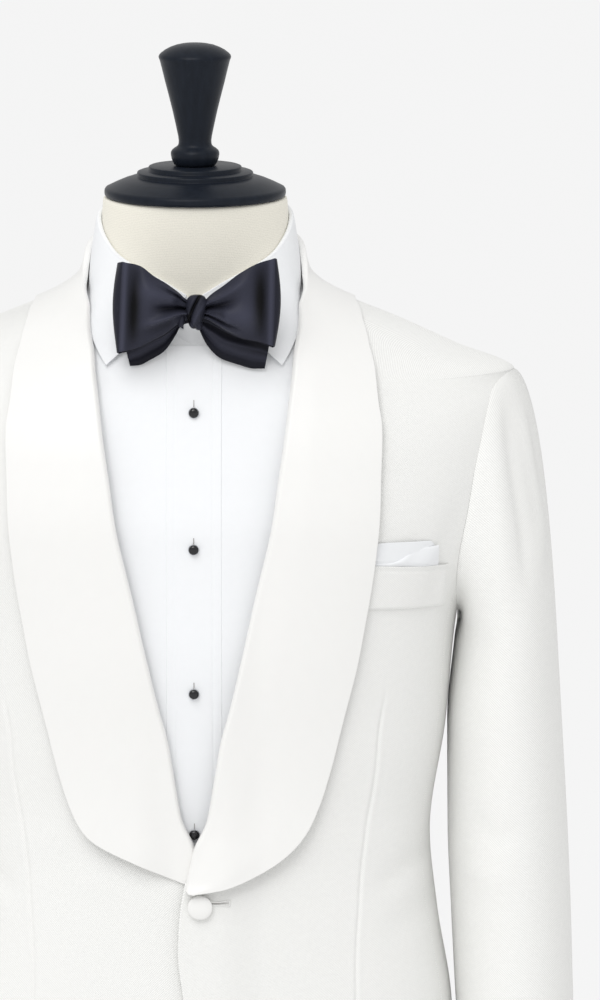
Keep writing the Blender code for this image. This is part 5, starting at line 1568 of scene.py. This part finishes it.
# ---------------------------------------------------------------- dress form and stand
def form_body():
    """The padded body in its linen cover, with the cover turned in at the neck and at the foot."""
    turns = 160
    angle = np.linspace(0, 360, turns, endpoint=False)
    heights = np.concatenate([np.linspace(0.2785, 0.9, 90), np.linspace(0.9, 1.0745, 70)[1:]])
    grid = FORM.point(np.broadcast_to(angle, (len(heights), turns)), heights[:, None])
    ends = []
    for row, level, step in ((grid[0], 0.276, -1), (grid[-1], NECK_TOP, 1)):
        centre = row.mean(axis=0)
        for t in (0.35, 0.65, 0.87, 1.0):
            inward = 0.0022 * (1 - math.cos(t * math.pi / 2))
            ring = row + unit(centre - row) * inward
            ring[:, 2] = row[0, 2] + (level - row[0, 2]) * math.sin(t * math.pi / 2)
            ends.append((step, ring))
    low = [ring for step, ring in ends if step < 0][::-1]
    high = [ring for step, ring in ends if step > 0]
    shells = [low[0] * (0.5, 0.5, 1) + low[0].mean(axis=0) * (0.5, 0.5, 0)] + low
    shells += list(grid) + high + [high[-1] * (0.5, 0.5, 1) + high[-1].mean(axis=0) * (0.5, 0.5, 0)]
    shells = np.array(shells)
    points = np.concatenate([shells.reshape(-1, 3), [shells[0].mean(axis=0), shells[-1].mean(axis=0)]])
    flat = points[:, :2] - (0, 0.008)
    uv = np.stack([np.arctan2(flat[:, 0], -flat[:, 1]) * 0.09, points[:, 2]], axis=-1)
    faces = ringed_faces(len(shells), turns)
    made = finish_mesh("form_body", points, faces, [finishes()["form_cover_linen"]], uv)
    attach(made, "root")
    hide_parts("form_torso")


def stand_pieces():
    wood = finishes()["stained_wood"]
    cap_bottom = NECK_TOP + 0.0003
    for name, outline, nodes, place in (
        ("neck_cap", CAP_OUTLINE, "form_neck_cap", (0, CAP_Y, cap_bottom)),
        ("finial", FINIAL_OUTLINE, "form_finial", (0, CAP_Y, cap_bottom + FINIAL_RISE)),
        ("round_base", BASE_OUTLINE, "stand_base", (0, 0, 0)),
        ("pole", POLE_OUTLINE, "stand_pole", (0, 0, 0)),
    ):
        made = turned(name, outline, wood, place, steps=128)
        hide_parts(nodes)


# ---------------------------------------------------------------- studio
def studio():
    settings = bpy.context.scene.tuxedo_studio
    bpy.ops.object.select_all(action="DESELECT")
    bpy.ops.mesh.primitive_plane_add(size=80, location=(0, 0, 0))
    floor = bpy.context.object
    floor.name = "studio_floor"
    made, _, shader = start_finish("floor_paint", 0.95, {"Specular IOR Level": 0.0})
    shader.inputs["Base Color"].default_value = (*settings.floor, 1.0)
    floor.data.materials.append(made)
    world = bpy.data.worlds.new("studio_surround")
    world.use_nodes = True
    background = world.node_tree.nodes["Background"]
    background.inputs["Color"].default_value = (1.0, 1.0, 1.0, 1.0)
    background.inputs["Strength"].default_value = settings.surround
    bpy.context.scene.world = world
    bpy.ops.object.light_add(type="SUN", location=KEY_PLACE)
    light = bpy.context.object
    light.name = "wide_key"
    light.data.angle = math.radians(KEY_SPREAD)
    light.data.energy = settings.key
    light.rotation_euler = (Vector((0, 0, 0)) - light.location).to_track_quat("-Z", "Y").to_euler()
    bpy.ops.object.light_add(type="AREA", location=SOFTBOX_PLACE)
    light = bpy.context.object
    light.name = "small_softbox"
    light.data.size = SOFTBOX_SIZE
    light.data.energy = SOFTBOX_POWER
    light.rotation_euler = (Vector(SOFTBOX_AIM) - light.location).to_track_quat("-Z", "Y").to_euler()
    aim, rise = Vector(CAMERA_AIM), math.radians(CAMERA_RISE)
    place = aim + Vector((0, -math.cos(rise), math.sin(rise))) * settings.distance
    bpy.ops.object.camera_add(location=place)
    camera = bpy.context.object
    camera.name = "studio_camera"
    camera.rotation_euler = (aim - place).to_track_quat("-Z", "Y").to_euler()
    camera.data.sensor_fit = "AUTO"
    camera.data.sensor_width = 36
    camera.data.lens = camera.data.sensor_width / 2 / math.tan(math.atan(HALF_VIEW / settings.distance))
    bpy.context.scene.camera = camera
    bpy.context.scene.view_settings.view_transform = "Standard"


# ---------------------------------------------------------------- operators
class TUXEDO_OT_form(bpy.types.Operator):
    """Make the linen-covered dress form"""

    bl_idname = "tuxedo.make_form"
    bl_label = "Dress form"

    def execute(self, context):
        form_body()
        return {"FINISHED"}


class TUXEDO_OT_stand(bpy.types.Operator):
    """Make the turned neck cap, finial, pole and round base"""

    bl_idname = "tuxedo.make_stand"
    bl_label = "Cap and stand"

    def execute(self, context):
        stand_pieces()
        return {"FINISHED"}


class TUXEDO_OT_jacket_body(bpy.types.Operator):
    """Make the fronts, side bodies and backs of the dinner jacket"""

    bl_idname = "tuxedo.make_jacket_body"
    bl_label = "Jacket body"

    def execute(self, context):
        for side in (1, -1):
            front_panel(side)
            side_panel(side)
            back_panel(side)
        return {"FINISHED"}


class TUXEDO_OT_sleeves(bpy.types.Operator):
    """Make both two-piece sleeves"""

    bl_idname = "tuxedo.make_sleeves"
    bl_label = "Sleeves"

    def execute(self, context):
        outer, normal = sleeve_surface()
        for side in (1, -1):
            sleeve_pair(side, outer, normal)
        return {"FINISHED"}


class TUXEDO_OT_shawl(bpy.types.Operator):
    """Make the satin shawl collar and its stand"""

    bl_idname = "tuxedo.make_shawl"
    bl_label = "Shawl collar"

    def execute(self, context):
        for side in (1, -1):
            shawl_facing(side)
        collar_stand()
        return {"FINISHED"}


class TUXEDO_OT_breast_pocket(bpy.types.Operator):
    """Make the breast welt and the folded pocket square"""

    bl_idname = "tuxedo.make_breast_pocket"
    bl_label = "Breast pocket"

    def execute(self, context):
        breast_welt()
        pocket_square()
        return {"FINISHED"}


class TUXEDO_OT_fastening(bpy.types.Operator):
    """Make the covered button and its buttonhole"""

    bl_idname = "tuxedo.make_fastening"
    bl_label = "Button and buttonhole"

    def execute(self, context):
        front_buttonhole()
        covered_button()
        return {"FINISHED"}


class TUXEDO_OT_shirt(bpy.types.Operator):
    """Make the shirt's fronts, backs and placket"""

    bl_idname = "tuxedo.make_shirt"
    bl_label = "Shirt body"

    def execute(self, context):
        for side in (1, -1):
            shirt_panel("front", side, 0.05, 89.95, 0.0023)
            shirt_panel("back", side, 90.05, 179.95, 0.0020)
        shirt_placket()
        return {"FINISHED"}


class TUXEDO_OT_collar(bpy.types.Operator):
    """Make the shirt's collar band and leaf"""

    bl_idname = "tuxedo.make_collar"
    bl_label = "Shirt collar"

    def execute(self, context):
        collar_band()
        collar_leaf()
        return {"FINISHED"}


class TUXEDO_OT_studs(bpy.types.Operator):
    """Make the four shirt studs"""

    bl_idname = "tuxedo.make_studs"
    bl_label = "Studs"

    def execute(self, context):
        shirt_studs()
        return {"FINISHED"}


class TUXEDO_OT_bow_tie(bpy.types.Operator):
    """Make the self-tied bow: knot, wings, hanging ends and neck strip"""

    bl_idname = "tuxedo.make_bow_tie"
    bl_label = "Bow tie"

    def execute(self, context):
        bow_knot()
        neck_strip()
        for side in (1, -1):
            bow_wing(side)
            bow_tail(side)
        return {"FINISHED"}


class TUXEDO_OT_studio(bpy.types.Operator):
    """Make the floor, the lights and the camera"""

    bl_idname = "tuxedo.make_studio"
    bl_label = "Studio"

    def execute(self, context):
        studio()
        return {"FINISHED"}


STEPS = (
    TUXEDO_OT_form, TUXEDO_OT_stand, TUXEDO_OT_shirt, TUXEDO_OT_collar, TUXEDO_OT_studs,
    TUXEDO_OT_jacket_body, TUXEDO_OT_sleeves, TUXEDO_OT_shawl, TUXEDO_OT_breast_pocket,
    TUXEDO_OT_fastening, TUXEDO_OT_bow_tie, TUXEDO_OT_studio,
)


class TUXEDO_PT_panel(bpy.types.Panel):
    """The tuxedo's settings and the steps that make it"""

    bl_idname = "TUXEDO_PT_panel"
    bl_label = "Tuxedo"
    bl_space_type = "VIEW_3D"
    bl_region_type = "UI"
    bl_category = "Tuxedo"

    def draw(self, context):
        for settings in (context.scene.tuxedo_cloth, context.scene.tuxedo_stand, context.scene.tuxedo_studio):
            box = self.layout.box()
            for name in settings.bl_rna.properties.keys():
                if name not in ("rna_type", "name"):
                    box.prop(settings, name)
        for step in STEPS:
            self.layout.operator(step.bl_idname)


SETTINGS = (("tuxedo_cloth", TuxedoCloth), ("tuxedo_stand", TuxedoStand), ("tuxedo_studio", TuxedoStudio))


def register():
    for name, group in SETTINGS:
        bpy.utils.register_class(group)
        setattr(bpy.types.Scene, name, PointerProperty(type=group))
    for item in (*STEPS, TUXEDO_PT_panel):
        bpy.utils.register_class(item)


def unregister():
    for item in (TUXEDO_PT_panel, *reversed(STEPS)):
        bpy.utils.unregister_class(item)
    for name, group in reversed(SETTINGS):
        delattr(bpy.types.Scene, name)
        bpy.utils.unregister_class(group)


def main():
    register()
    for step in STEPS:
        area, action = step.bl_idname.split(".")
        getattr(getattr(bpy.ops, area), action)()


if __name__ == "__main__":
    main()
